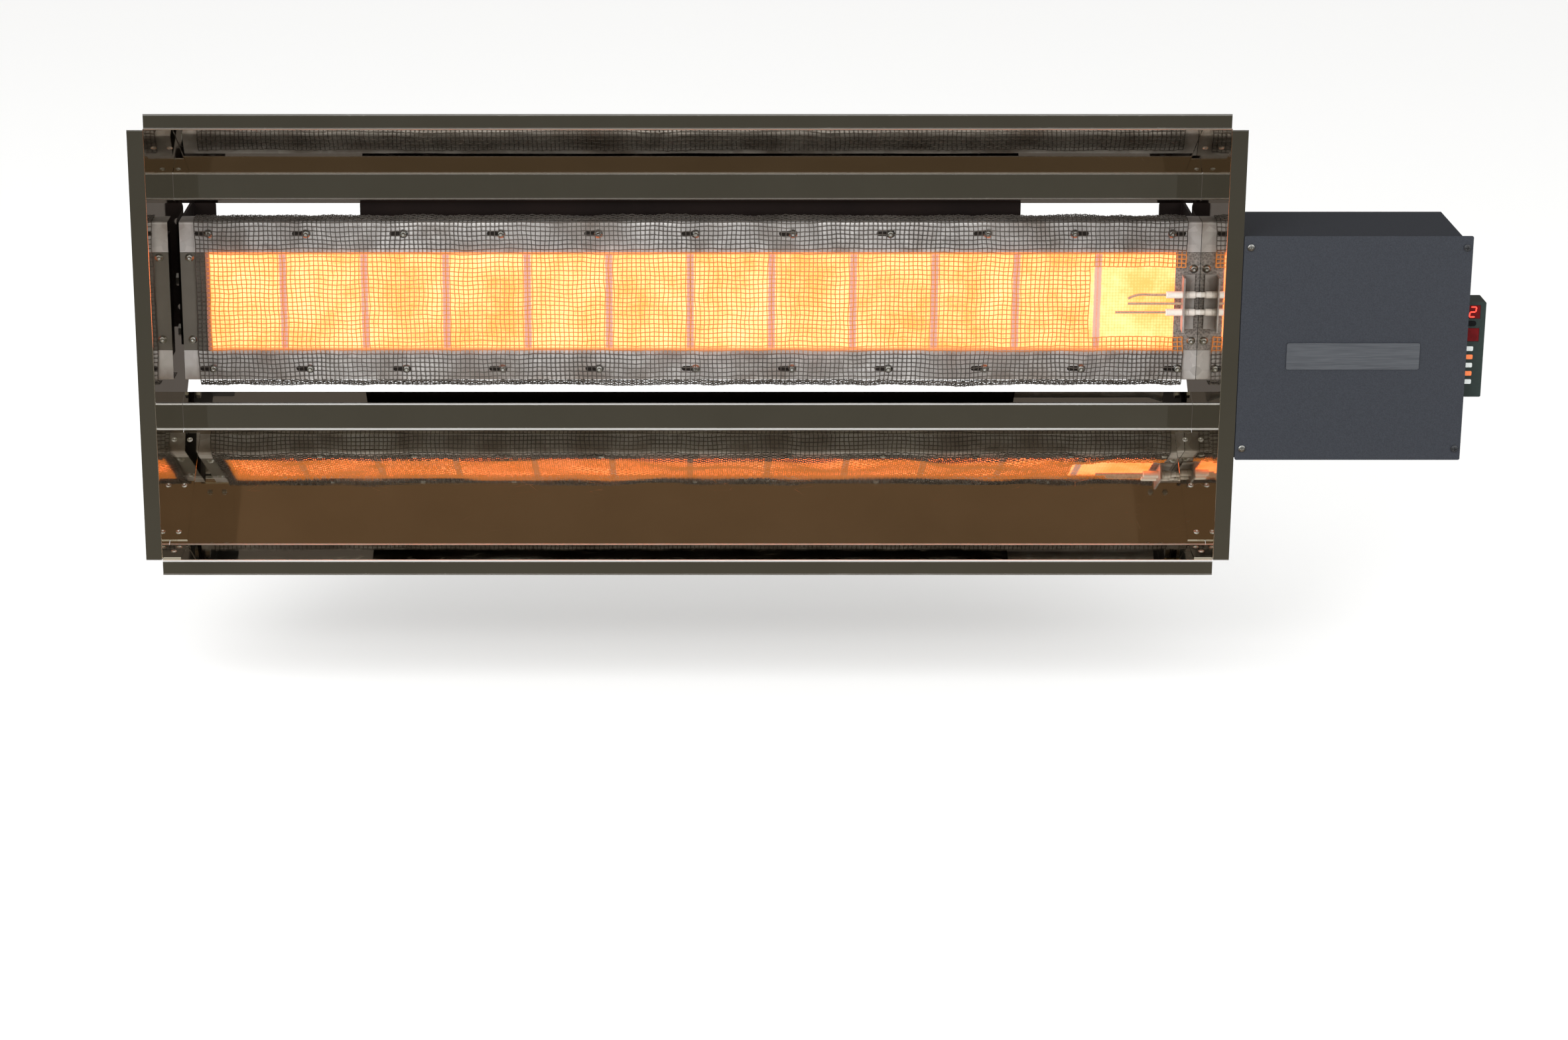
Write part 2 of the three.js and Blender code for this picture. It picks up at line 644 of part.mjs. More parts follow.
// Fibre gasket: a frame around the row with a thin strip in each joint between plaques.
function addGasket() {
  const front = TILE_FRONT + GAP;
  const back = TILE_FRONT + TILE_THICKNESS - GAP;
  const outerHalf = (TILE_PITCH * TILE_COUNT) / 2 + GASKET_RING;
  const outerTop = TILE_HEIGHT / 2 + GASKET_RING;
  const pocketHalf = (TILE_PITCH - TILE_SPACING_GAP) / 2 + GAP;
  const pocketTop = TILE_HEIGHT / 2 + GAP;
  const middle = BURNER_MIDDLE;
  const sheet = boxBetween(middle - outerHalf, middle + outerHalf, front, back, -outerTop, outerTop);
  const pockets = [];
  for (let i = 0; i < TILE_COUNT; i += 1) {
    const x = tileMiddle(i);
    pockets.push(boxBetween(
      x - pocketHalf,
      x + pocketHalf,
      front - 1,
      back + 1,
      -pocketTop,
      pocketTop,
    ));
  }
  add(burner, 'tile_gasket', cut(sheet, ...pockets), fibrePaper());
}

// Casing: a deep pan behind the plaques, with a front flange, a ledge and a gas port.
function addCasing() {
  const left = BURNER_MIDDLE - CASING_HALF_LENGTH;
  const right = BURNER_MIDDLE + CASING_HALF_LENGTH;
  const half = CASING_HALF_HEIGHT;
  const inner = half - CASING_SHEET;
  const ledgeY = TILE_FRONT + TILE_THICKNESS + GAP;
  const pan = cut(
    boxBetween(left, right, CASING_FRONT, CASING_BACK, -half, half),
    boxBetween(
      left + CASING_SHEET,
      right - CASING_SHEET,
      CASING_FRONT - 1,
      CASING_BACK - CASING_SHEET,
      -inner,
      inner,
    ),
  );
  const flangeHalf = RAIL_HALF_HEIGHT - RAIL_SHEET - RAIL_BEND;
  const flange = rectangle(point(left, -flangeHalf), point(right, flangeHalf));
  flange.holes.push(rectangle(
    point(left + CASING_SHEET / 2, -inner - CASING_SHEET / 2),
    point(right - CASING_SHEET / 2, inner + CASING_SHEET / 2),
  ));
  const ledge = rectangle(
    point(left + CASING_SHEET / 2, -inner - CASING_SHEET / 2),
    point(right - CASING_SHEET / 2, inner + CASING_SHEET / 2),
  );
  ledge.holes.push(rectangle(
    point(left + CASING_SHEET + CASING_LEDGE, -inner + CASING_LEDGE),
    point(right - CASING_SHEET - CASING_LEDGE, inner - CASING_LEDGE),
  ));
  const shell = join(
    pan,
    alongY(flange, CASING_FRONT, CASING_FRONT + CASING_SHEET),
    alongY(ledge, ledgeY, ledgeY + CASING_SHEET),
  );
  add(burner, 'burner_casing', cut(shell, gasPort(CASING_BACK - CASING_SHEET)), galvanisedSteel());
}

function gasPort(y) {
  return boxBetween(
    BURNER_MIDDLE - PORT_LENGTH / 2,
    BURNER_MIDDLE + PORT_LENGTH / 2,
    y - 1,
    y + CHAMBER_SHEET + 1,
    -PORT_HEIGHT / 2,
    PORT_HEIGHT / 2,
  );
}

// Wire screen: flat in front of the rails, its long edges turned back over them,
// with a window cut out around the electrodes.
function addScreen() {
  const back = BURNER_FRONT - GAP;
  const front = back - SCREEN_THICKNESS;
  const edge = RAIL_HALF_HEIGHT + SCREEN_EDGE_RISE;
  const bend = RAIL_HALF_HEIGHT - 1;
  const path = roundedPath([
    point(back + SCREEN_EDGE_TURN, edge),
    point(back, bend + SCREEN_THICKNESS),
    point(back, -bend - SCREEN_THICKNESS),
    point(back + SCREEN_EDGE_TURN, -edge),
  ], SCREEN_BEND);
  const section = sheetSection(path.reverse(), SCREEN_THICKNESS);
  const left = BURNER_LEFT + SCREEN_LEFT_INSET;
  const right = BURNER_RIGHT - SCREEN_RIGHT_INSET;
  const window = boxBetween(
    BURNER_RIGHT - SCREEN_WINDOW_LENGTH,
    right + 1,
    front - 1,
    back + 1,
    -SCREEN_WINDOW_HEIGHT / 2,
    SCREEN_WINDOW_HEIGHT / 2,
  );
  add(burner, 'mesh_screen', cut(alongX(section, left, right), window), stainlessWire());
}

// ------------------------------------------------------------- gas and air behind the burner

function addMixingChamber() {
  const left = BURNER_MIDDLE - CHAMBER_LENGTH / 2;
  const right = BURNER_MIDDLE + CHAMBER_LENGTH / 2;
  const half = CHAMBER_HEIGHT / 2;
  const wall = CHAMBER_SHEET;
  const outside = boxBetween(left, right, CHAMBER_FRONT, CHAMBER_BACK, -half, half);
  const inside = boxBetween(
    left + wall,
    right - wall,
    CHAMBER_FRONT + wall,
    CHAMBER_BACK - wall,
    -half + wall,
    half - wall,
  );
  const inlet = rodX(VENTURI_RADIUS + GAP, right - 5, right + 5, VENTURI_Y, VENTURI_Z, 20);
  const chamber = cut(outside, inside, gasPort(CHAMBER_FRONT), inlet);
  add(burner, 'mixing_chamber', chamber, blackPaint());
}

// Venturi: an open tube with a bell mouth that faces the injector's nose.
function addVenturi() {
  const start = BURNER_MIDDLE + CHAMBER_LENGTH / 2 - VENTURI_IN_CHAMBER;
  const end = HALF_LENGTH - VENTURI_END_GAP;
  const straight = end - VENTURI_BELL_LENGTH - start;
  const length = end - start;
  const bore = VENTURI_RADIUS - VENTURI_WALL;
  const profile = [
    point(bore, 0),
    point(VENTURI_RADIUS, 0),
    point(VENTURI_RADIUS, straight),
    point(VENTURI_BELL_RADIUS, length),
    point(VENTURI_BELL_RADIUS - VENTURI_WALL, length),
    point(bore, straight),
    point(bore, 0),
  ];
  const tube = new THREE.LatheGeometry(profile, 20);
  tube.rotateZ(-Math.PI / 2).translate(start, VENTURI_Y, VENTURI_Z);
  add(burner, 'venturi_tube', tube, galvanisedSteel());
}

// Injector: a hexagon outside the end panel and a drilled nose inside it.
function addInjector() {
  const noseTip = HALF_LENGTH - INJECTOR_NOSE;
  const hexStart = END_OUTER_X + GAP;
  const noseEnd = INJECTOR_END_X - noseTip - 1;
  const nose = new THREE.LatheGeometry([
    point(0, 0),
    point(INJECTOR_NECK, 0),
    point(INJECTOR_RADIUS, INJECTOR_TAPER),
    point(INJECTOR_RADIUS, noseEnd),
    point(0, noseEnd),
  ], 14);
  nose.rotateZ(-Math.PI / 2).translate(noseTip, VENTURI_Y, VENTURI_Z);
  const hexagon = rodX(
    INJECTOR_RADIUS + 2,
    hexStart,
    INJECTOR_END_X,
    VENTURI_Y,
    VENTURI_Z,
    6,
  );
  const jet = rodX(INJECTOR_JET_RADIUS, noseTip - 1, hexStart, VENTURI_Y, VENTURI_Z, 8);
  const supply = rodX(
    INJECTOR_SUPPLY_RADIUS,
    hexStart - 2,
    INJECTOR_END_X + 1,
    VENTURI_Y,
    VENTURI_Z,
    10,
  );
  add(burner, 'gas_injector', cut(join(nose, hexagon), jet, supply), brass());
}

// A round bar or lead swept along a curve.
function swept(curve, radius, steps, sides = 8) {
  const section = new THREE.Shape();
  for (let i = 0; i < sides; i += 1) {
    const angle = (i * Math.PI * 2) / sides;
    const corner = point(radius * Math.cos(angle), radius * Math.sin(angle));
    if (i === 0) section.moveTo(corner.x, corner.y);
    else section.lineTo(corner.x, corner.y);
  }
  return new THREE.ExtrudeGeometry(section, { steps, bevelEnabled: false, extrudePath: curve });
}

// Copper pipe from the valve's outlet, through the box's back, round to the injector.
function addGasPipe() {
  const start = new THREE.Vector3(OUTLET_X, VALVE_BACK + GAP, VENTURI_Z);
  const corner = new THREE.Vector3(OUTLET_X, VENTURI_Y, VENTURI_Z);
  const end = new THREE.Vector3(INJECTOR_END_X + GAP, VENTURI_Y, VENTURI_Z);
  const bendIn = corner.clone().add(new THREE.Vector3(0, -PIPE_BEND, 0));
  const bendOut = corner.clone().add(new THREE.Vector3(-PIPE_BEND, 0, 0));
  const route = new THREE.CurvePath();
  route.add(new THREE.LineCurve3(start, bendIn));
  route.add(new THREE.QuadraticBezierCurve3(bendIn, corner, bendOut));
  route.add(new THREE.LineCurve3(bendOut, end));
  add(burner, 'gas_pipe', swept(route, PIPE_RADIUS, 24, 12), copper());
}

// ------------------------------------------------------------- electrodes

// Angle bracket screwed to the burner's right end plate; the insulators pass through it.
function addElectrodeBracket() {
  const x = ELECTRODE_BRACKET_X;
  const back = BURNER_FRONT - GAP;
  const half = ELECTRODE_BRACKET_HEIGHT / 2;
  const sheet = ELECTRODE_BRACKET_SHEET;
  const upright = boxBetween(x, x + sheet, back - ELECTRODE_BRACKET_REACH, back, -half, half);
  const foot = boxBetween(x, x + ELECTRODE_BRACKET_FOOT, back - sheet, back, -half, half);
  const holes = [ELECTRODE_SPACING, -ELECTRODE_SPACING].map((z) => (
    rodX(INSULATOR_RADIUS + GAP, x - 1, x + sheet + 1, ELECTRODE_Y, z, 14)
  ));
  add(burner, 'electrode_bracket', cut(join(upright, foot), ...holes), galvanisedSteel());
}

function addInsulator(name, z) {
  const start = ELECTRODE_BRACKET_X - INSULATOR_FRONT;
  const length = INSULATOR_FRONT + ELECTRODE_BRACKET_SHEET + INSULATOR_BACK;
  const bore = ELECTRODE_ROD_RADIUS + GAP;
  const tube = new THREE.LatheGeometry([
    point(bore, 0),
    point(INSULATOR_RADIUS - INSULATOR_CHAMFER, 0),
    point(INSULATOR_RADIUS, INSULATOR_CHAMFER),
    point(INSULATOR_RADIUS, length),
    point(bore, length),
    point(bore, 0),
  ], 14);
  tube.rotateZ(-Math.PI / 2).translate(start, ELECTRODE_Y, z);
  add(burner, name, tube, alumina());
}

function bootStart() {
  return ELECTRODE_BRACKET_X + ELECTRODE_BRACKET_SHEET + INSULATOR_BACK + GAP;
}

// Sleeve over a rod's rear end: wide, waisted where it passes the end panel, then wide.
function addBoot(name, z) {
  const bore = ELECTRODE_ROD_RADIUS + GAP;
  const boot = new THREE.LatheGeometry([
    point(bore, 0),
    point(BOOT_RADIUS, 0),
    point(BOOT_RADIUS, BOOT_WAIST_START),
    point(BOOT_WAIST_RADIUS, BOOT_WAIST_START + BOOT_TAPER),
    point(BOOT_WAIST_RADIUS, BOOT_WAIST_END - BOOT_TAPER),
    point(BOOT_RADIUS, BOOT_WAIST_END),
    point(BOOT_RADIUS, BOOT_LENGTH),
    point(0, BOOT_LENGTH),
    point(0, BOOT_SOCKET),
    point(bore, BOOT_SOCKET),
    point(bore, 0),
  ], 14);
  boot.rotateZ(-Math.PI / 2).translate(bootStart(), ELECTRODE_Y, z);
  add(burner, name, boot, siliconeSleeve());
}

// Spark rod: its tip bends down towards the earth rod. The other two are straight.
function addElectrodes() {
  const rear = bootStart() + BOOT_SOCKET - 1;
  const high = ELECTRODE_SPACING;
  const tip = ELECTRODE_BRACKET_X - SPARK_REACH;
  const spark = new THREE.CatmullRomCurve3([
    new THREE.Vector3(tip, ELECTRODE_Y, high - SPARK_TIP_DROP),
    new THREE.Vector3(tip + SPARK_TIP_BEND * 0.4, ELECTRODE_Y, high - SPARK_TIP_DROP * 0.45),
    new THREE.Vector3(tip + SPARK_TIP_BEND, ELECTRODE_Y, high),
    new THREE.Vector3(tip + SPARK_TIP_BEND * 2.5, ELECTRODE_Y, high),
    new THREE.Vector3(rear, ELECTRODE_Y, high),
  ]);
  const rod = ELECTRODE_ROD_RADIUS;
  const sensorTip = ELECTRODE_BRACKET_X - SENSOR_REACH;
  const earthTip = ELECTRODE_BRACKET_X - EARTH_REACH;
  const sensor = rodX(rod, sensorTip, rear, ELECTRODE_Y, -high, 8);
  const earth = rodX(rod, earthTip, ELECTRODE_BRACKET_X - GAP, ELECTRODE_Y, 0, 8);
  add(burner, 'spark_electrode', swept(spark, rod, 24), kanthal());
  add(burner, 'flame_sensor_rod', sensor, kanthal());
  add(burner, 'earth_rod', earth, kanthal());
}

// Ignition leads: out of a boot, in through the box's back and across to the controller.
function addLead(name, z, endZ) {
  const start = bootStart() + BOOT_LENGTH + GAP;
  const toBox = ELECTRODE_Y - BOX_BACK;
  const inside = BOX_BACK - LEAD_BEND;
  const route = new THREE.CatmullRomCurve3([
    new THREE.Vector3(start, ELECTRODE_Y, z),
    new THREE.Vector3(start + LEAD_BEND * 0.4, ELECTRODE_Y, z),
    new THREE.Vector3(LEAD_HOLE_X, BOX_BACK + toBox * 0.65, z),
    new THREE.Vector3(LEAD_HOLE_X, BOX_BACK + toBox * 0.18, z),
    new THREE.Vector3(LEAD_HOLE_X, BOX_BACK - LEAD_BEND * 0.3, z),
    new THREE.Vector3(LEAD_HOLE_X + LEAD_BEND * 0.85, inside, (z + endZ) / 2),
    new THREE.Vector3(CONTROLLER_LEFT - LEAD_BEND * 0.55, inside, endZ),
    new THREE.Vector3(CONTROLLER_LEFT - GAP, inside, endZ),
  ], false, 'centripetal');
  add(burner, name, swept(route, LEAD_RADIUS, 34), siliconeSleeve());
}

// ------------------------------------------------------------- control box

function coverScrewPlaces() {
  const left = COVER_LEFT + SCREW_LEFT_INSET;
  const right = COVER_RIGHT - SCREW_RIGHT_INSET;
  const z = COVER_HEIGHT / 2 - SCREW_TOP_INSET;
  return [point(left, z), point(right, z), point(left, -z), point(right, -z)];
}

// Box: a folded tray, open at the front, flanged left and right for the cover's screws.
function addBoxBody() {
  const wall = BOX_SHEET;
  const half = BOX_HALF_HEIGHT;
  const tray = cut(
    boxBetween(BOX_LEFT, BOX_RIGHT, BOX_FRONT, BOX_BACK, -half, half),
    boxBetween(
      BOX_LEFT + wall,
      BOX_RIGHT - wall,
      BOX_FRONT - 1,
      BOX_BACK - wall,
      -half + wall,
      half - wall,
    ),
  );
  const leftFlange = rectangle(
    point(BOX_LEFT + wall / 2, -half + wall / 2),
    point(BOX_LEFT + BOX_LEFT_FLANGE, half - wall / 2),
  );
  const rightFlange = rectangle(
    point(BOX_RIGHT - wall / 2, -half),
    point(BOX_RIGHT + BOX_FLANGE, half),
  );
  for (const place of coverScrewPlaces()) {
    const flange = place.x < (BOX_LEFT + BOX_RIGHT) / 2 ? leftFlange : rightFlange;
    flange.holes.push(roundHole(place.x, place.y, SCREW_RADIUS + GAP));
  }
  const shell = join(
    tray,
    alongY(leftFlange, BOX_FRONT, BOX_FRONT + wall, 4),
    alongY(rightFlange, BOX_FRONT, BOX_FRONT + wall, 4),
  );
  const through = [BOX_BACK - 5, BOX_BACK + 5];
  const leadHole = LEAD_RADIUS + LEAD_HOLE_MARGIN;
  const body = cut(
    shell,
    rodY(PIPE_RADIUS + 1, ...through, OUTLET_X, FITTINGS_Z, 14),
    rodY(INLET_RADIUS + GAP, ...through, INLET_X, FITTINGS_Z, 20),
    rodY(GLAND_RADIUS + GAP, ...through, GLAND_X, FITTINGS_Z, 16),
    rodY(leadHole, ...through, LEAD_HOLE_X, BURNER_RISE + ELECTRODE_SPACING, 12),
    rodY(leadHole, ...through, LEAD_HOLE_X, BURNER_RISE - ELECTRODE_SPACING, 12),
  );
  add(heater, 'control_box_body', body, anthracitePaint());
}

function addCover() {
  const half = COVER_HEIGHT / 2;
  const shape = roundedRectangle(point(COVER_LEFT, -half), point(COVER_RIGHT, half), COVER_CORNER);
  for (const place of coverScrewPlaces()) {
    shape.holes.push(roundHole(place.x, place.y, SCREW_RADIUS + GAP));
  }
  add(heater, 'control_box_cover', alongY(shape, 0, COVER_SHEET, 4), anthracitePaint());
}

// Pan-head screw with a cross recess, its head in front of the cover.
function addCoverScrews() {
  const head = -GAP - SCREW_HEAD_HEIGHT;
  coverScrewPlaces().forEach((place, i) => {
    const screw = new THREE.LatheGeometry([
      point(0, SCREW_LENGTH),
      point(SCREW_RADIUS, SCREW_LENGTH),
      point(SCREW_RADIUS, -GAP),
      point(SCREW_HEAD_RADIUS, -GAP),
      point(SCREW_HEAD_RADIUS, -GAP - SCREW_RIM),
      point(SCREW_HEAD_RADIUS * 0.75, head + 0.4),
      point(0, head),
    ], 16);
    const arms = [[CROSS_LENGTH, CROSS_WIDTH], [CROSS_WIDTH, CROSS_LENGTH]];
    const slots = arms.map(([width, height]) => (
      boxBetween(-width / 2, width / 2, head - 1, head + CROSS_DEPTH, -height / 2, height / 2)
    ));
    const finished = cut(outward(screw), ...slots).translate(place.x, 0, place.y);
    add(heater, `cover_screw_${i + 1}`, finished, zincSteel());
  });
}

// A lathe profile run from high Y to low Y turns inside out: this puts its faces right.
function outward(geometry) {
  const index = geometry.index.array;
  for (let i = 0; i < index.length; i += 3) {
    [index[i], index[i + 1]] = [index[i + 1], index[i]];
  }
  return geometry;
}

function addBadge() {
  const middle = (COVER_LEFT + COVER_RIGHT) / 2;
  const shape = roundedRectangle(
    point(middle - BADGE_WIDTH / 2, -BADGE_BELOW_MIDDLE - BADGE_HEIGHT / 2),
    point(middle + BADGE_WIDTH / 2, -BADGE_BELOW_MIDDLE + BADGE_HEIGHT / 2),
    COVER_CORNER,
  );
  const badge = alongY(shape, -GAP - BADGE_THICKNESS, -GAP, 4);
  add(heater, 'badge_plate', badge, badgeSteel());
}

// Valve: a cast block with a plunger bore from above and two passages from its back.
function addValve() {
  const bottom = VALVE_TOP - VALVE_HEIGHT;
  const block = boxBetween(
    VALVE_LEFT,
    VALVE_LEFT + VALVE_WIDTH,
    VALVE_BACK - VALVE_DEPTH,
    VALVE_BACK,
    bottom,
    VALVE_TOP,
  );
  const bore = new THREE.CylinderGeometry(
    VALVE_BORE_RADIUS,
    VALVE_BORE_RADIUS,
    VALVE_BORE_DEPTH + 1,
    16,
  );
  bore.rotateX(Math.PI / 2);
  bore.translate(VALVE_BORE_X, VALVE_BORE_Y, VALVE_TOP - (VALVE_BORE_DEPTH - 1) / 2);
  const cross = rodX(VALVE_PASSAGE_RADIUS, OUTLET_X, INLET_X, VALVE_BORE_Y, VENTURI_Z, 10);
  const outlet = rodY(VALVE_PASSAGE_RADIUS, VALVE_BORE_Y, VALVE_BACK + 1, OUTLET_X, VENTURI_Z, 10);
  const inlet = rodY(VALVE_PASSAGE_RADIUS, VALVE_BORE_Y, VALVE_BACK + 1, INLET_X, VENTURI_Z, 10);
  add(burner, 'gas_valve_body', cut(block, bore, cross, outlet, inlet), castAluminium());
}

// Coil: closed on top and bored from below, where the plunger rises into it.
function addCoil() {
  const coil = new THREE.LatheGeometry([
    point(VALVE_BORE_RADIUS, 0),
    point(COIL_RADIUS, 0),
    point(COIL_RADIUS, COIL_HEIGHT),
    point(0, COIL_HEIGHT),
    point(0, COIL_BORE_DEPTH),
    point(VALVE_BORE_RADIUS, COIL_BORE_DEPTH),
    point(VALVE_BORE_RADIUS, 0),
  ], 20);
  coil.rotateX(Math.PI / 2).translate(VALVE_BORE_X, VALVE_BORE_Y, VALVE_TOP + GAP);
  add(burner, 'valve_coil', coil, coilResin());
}

// Plunger: rests on the valve's seat and lifts into the coil to let gas through.
function addPlunger() {
  const radius = VALVE_BORE_RADIUS - PLUNGER_CLEARANCE;
  const plunger = new THREE.CylinderGeometry(radius, radius, PLUNGER_LENGTH, 16);
  plunger.rotateX(Math.PI / 2);
  const bottom = VALVE_TOP - VALVE_BORE_DEPTH + GAP;
  plunger.translate(VALVE_BORE_X, VALVE_BORE_Y, bottom + PLUNGER_LENGTH / 2);
  add(burner, 'valve_plunger', plunger, zincSteel());
}

// A nipple with a hexagon outside the box's back, bored right through.
function fitting(radius, bore, nutRadius, nutWidth, x, low, high) {
  const nutFront = BOX_BACK + GAP;
  return cut(
    join(
      rodY(radius, low, high, x, VENTURI_Z, 20),
      rodY(nutRadius, nutFront, nutFront + nutWidth, x, VENTURI_Z, 6),
    ),
    rodY(bore, low - 1, high + 1, x, VENTURI_Z, 14),
  );
}

function addInletAndGland() {
  const inlet = fitting(
    INLET_RADIUS,
    INLET_BORE_RADIUS,
    INLET_NUT_RADIUS,
    INLET_NUT_WIDTH,
    INLET_X,
    VALVE_BACK + GAP,
    BOX_BACK + INLET_STICK_OUT,
  );
  add(burner, 'gas_inlet', inlet, brass());
  const gland = fitting(
    GLAND_RADIUS,
    GLAND_BORE_RADIUS,
    GLAND_NUT_RADIUS,
    GLAND_NUT_WIDTH,
    GLAND_X,
    BOX_BACK - BOX_SHEET - GLAND_INSIDE,
    BOX_BACK - BOX_SHEET - GLAND_INSIDE + GLAND_LENGTH,
  );
  add(burner, 'cable_gland', gland, controllerPlastic());
}

// Ignition controller on the back wall, with the terminal block above it.
function addController() {
  const back = BOX_BACK - BOX_SHEET - GAP;
  const half = CONTROLLER_HEIGHT / 2;
  const shape = roundedRectangle(
    point(CONTROLLER_LEFT, CONTROLLER_Z - half),
    point(CONTROLLER_RIGHT, CONTROLLER_Z + half),
    CONTROLLER_CORNER,
  );
  const body = alongY(shape, back - CONTROLLER_DEPTH, back, 4);
  add(burner, 'ignition_controller', body, controllerPlastic());

  const terminalTop = BOX_HALF_HEIGHT - BOX_SHEET - TERMINAL_TOP_GAP;
  const pitch = TERMINAL_WIDTH / TERMINAL_WAYS;
  const block = boxBetween(
    CONTROLLER_LEFT,
    CONTROLLER_LEFT + TERMINAL_WIDTH,
    back - TERMINAL_DEPTH,
    back,
    terminalTop - TERMINAL_HEIGHT,
    terminalTop,
  );
  const grooves = [];
  for (let i = 1; i < TERMINAL_WAYS; i += 1) {
    const x = CONTROLLER_LEFT + pitch * i;
    grooves.push(boxBetween(
      x - TERMINAL_GROOVE_WIDTH / 2,
      x + TERMINAL_GROOVE_WIDTH / 2,
      back - TERMINAL_DEPTH - 1,
      back - TERMINAL_DEPTH + TERMINAL_GROOVE_DEPTH,
      terminalTop - TERMINAL_HEIGHT - 1,
      terminalTop + 1,
    ));
  }
  add(burner, 'terminal_block', cut(block, ...grooves), terminalPlastic());
}

// ------------------------------------------------------------- display module

function windowRectangle(drop, margin) {
  const middle = BOX_RIGHT + GAP + DISPLAY_WIDTH / 2;
  const top = DISPLAY_TOP - drop;
  return rectangle(
    point(middle - WINDOW_WIDTH / 2 - margin, top - WINDOW_HEIGHT - margin),
    point(middle + WINDOW_WIDTH / 2 + margin, top + margin),
  );
}

// Housing: a moulded case with a shallow recess for each window.
function addDisplay() {
  const left = BOX_RIGHT + GAP;
  const front = DISPLAY_SETBACK;
  const shape = roundedRectangle(
    point(left, DISPLAY_TOP - DISPLAY_HEIGHT),
    point(left + DISPLAY_WIDTH, DISPLAY_TOP),
    DISPLAY_CORNER,
  );
  const recesses = [UPPER_WINDOW_DROP, LOWER_WINDOW_DROP].map((drop) => (
    alongY(windowRectangle(drop, GAP), front - 1, front + WINDOW_RECESS)
  ));
  const housing = cut(alongY(shape, front, front + DISPLAY_DEPTH, 4), ...recesses);
  add(heater, 'display_housing', housing, displayPlastic());
  const lens = [front, front + WINDOW_RECESS - GAP];
  const upper = alongY(windowRectangle(UPPER_WINDOW_DROP, 0), ...lens);
  const lower = alongY(windowRectangle(LOWER_WINDOW_DROP, 0), ...lens);
  add(heater, 'display_window_upper', upper, redAcrylic());
  add(heater, 'display_window_lower', lower, redAcrylic());
}

// ------------------------------------------------------------- wall brackets

// The arc that a lock bolt travels as the heater tilts, as a slot around the pivot.
function tiltSlot() {
  const first = -Math.PI / 2 - TILT_SLOT_MARGIN;
  const last = -Math.PI / 2 + TILT_RANGE + TILT_SLOT_MARGIN;
  const at = (angle) => point(
    PIVOT_Y + LOCK_RADIUS * Math.cos(angle),
    PIVOT_Z + LOCK_RADIUS * Math.sin(angle),
  );
  const near = at(first);
  const far = at(last);
  const half = BOLT_HOLE_RADIUS;
  const slot = new THREE.Path();
  slot.absarc(PIVOT_Y, PIVOT_Z, LOCK_RADIUS + half, first, last);
  slot.absarc(far.x, far.y, half, last, last + Math.PI);
  slot.absarc(PIVOT_Y, PIVOT_Z, LOCK_RADIUS - half, last, first, true);
  slot.absarc(near.x, near.y, half, first + Math.PI, first + Math.PI * 2);
  return slot;
}

// Bracket: an angle of thick sheet. Its side leg carries the pivot, its foot the wall screws.
// The leg's lower edge is an arc about the pivot, so the injector clears it as the heater tilts.
function addBracket(name, side) {
  const low = PIVOT_Z - BRACKET_HEIGHT / 2;
  const high = PIVOT_Z + BRACKET_HEIGHT / 2;
  const front = CASING_BACK + BRACKET_FRONT_GAP;
  const inner = BRACKET_OUTER_X - BRACKET_FOOT;
  const bend = roundedPath([
    point(BRACKET_OUTER_X, front),
    point(BRACKET_OUTER_X, WALL_Y),
    point(inner, WALL_Y),
  ], BRACKET_BEND, 5);
  const blank = alongZ(sheetSection(bend, BRACKET_SHEET), low, high);
  const sideShape = roundedRectangle(point(front, low), point(WALL_Y + 10, high), BRACKET_CORNER);
  sideShape.holes.push(roundHole(PIVOT_Y, PIVOT_Z, BOLT_HOLE_RADIUS));
  sideShape.holes.push(tiltSlot());
  const footShape = roundedRectangle(
    point(inner, low),
    point(BRACKET_OUTER_X + 10, high),
    BRACKET_CORNER,
  );
  for (const z of [WALL_HOLE_SPACING / 2, -WALL_HOLE_SPACING / 2]) {
    footShape.holes.push(roundHole(BRACKET_FACE_X, PIVOT_Z + z, WALL_HOLE_RADIUS));
  }
  const plain = common(
    blank,
    alongX(sideShape, inner - 1, BRACKET_OUTER_X + 1),
    alongY(footShape, front - 1, WALL_Y + 1),
  );
  const relief = cut(
    boxBetween(
      inner - 1,
      BRACKET_OUTER_X + 1,
      front - 1,
      PIVOT_Y + BRACKET_RELIEF_REACH,
      low - 1,
      PIVOT_Z,
    ),
    rodX(BRACKET_HEIGHT / 2, inner - 2, BRACKET_OUTER_X + 2, PIVOT_Y, PIVOT_Z, 60),
  );
  const bracket = cut(plain, relief);
  add(brackets, name, side > 0 ? bracket : mirroredX(bracket), blackPaint());
}

// Bolt from the bracket's inside, through it and the end panel, into a welded nut.
function addBolt(name, side, z) {
  const headEnd = BRACKET_OUTER_X - BRACKET_SHEET - GAP;
  const bolt = join(
    rodX(BOLT_HEAD_RADIUS, headEnd - BOLT_HEAD_HEIGHT, headEnd, PIVOT_Y, z, 6),
    rodX(BOLT_RADIUS, headEnd - 1, END_OUTER_X + NUT_HEIGHT + BOLT_STICK_OUT, PIVOT_Y, z, 12),
  );
  add(heater, name, side > 0 ? bolt : mirroredX(bolt), zincSteel());
}

// ------------------------------------------------------------- assembly

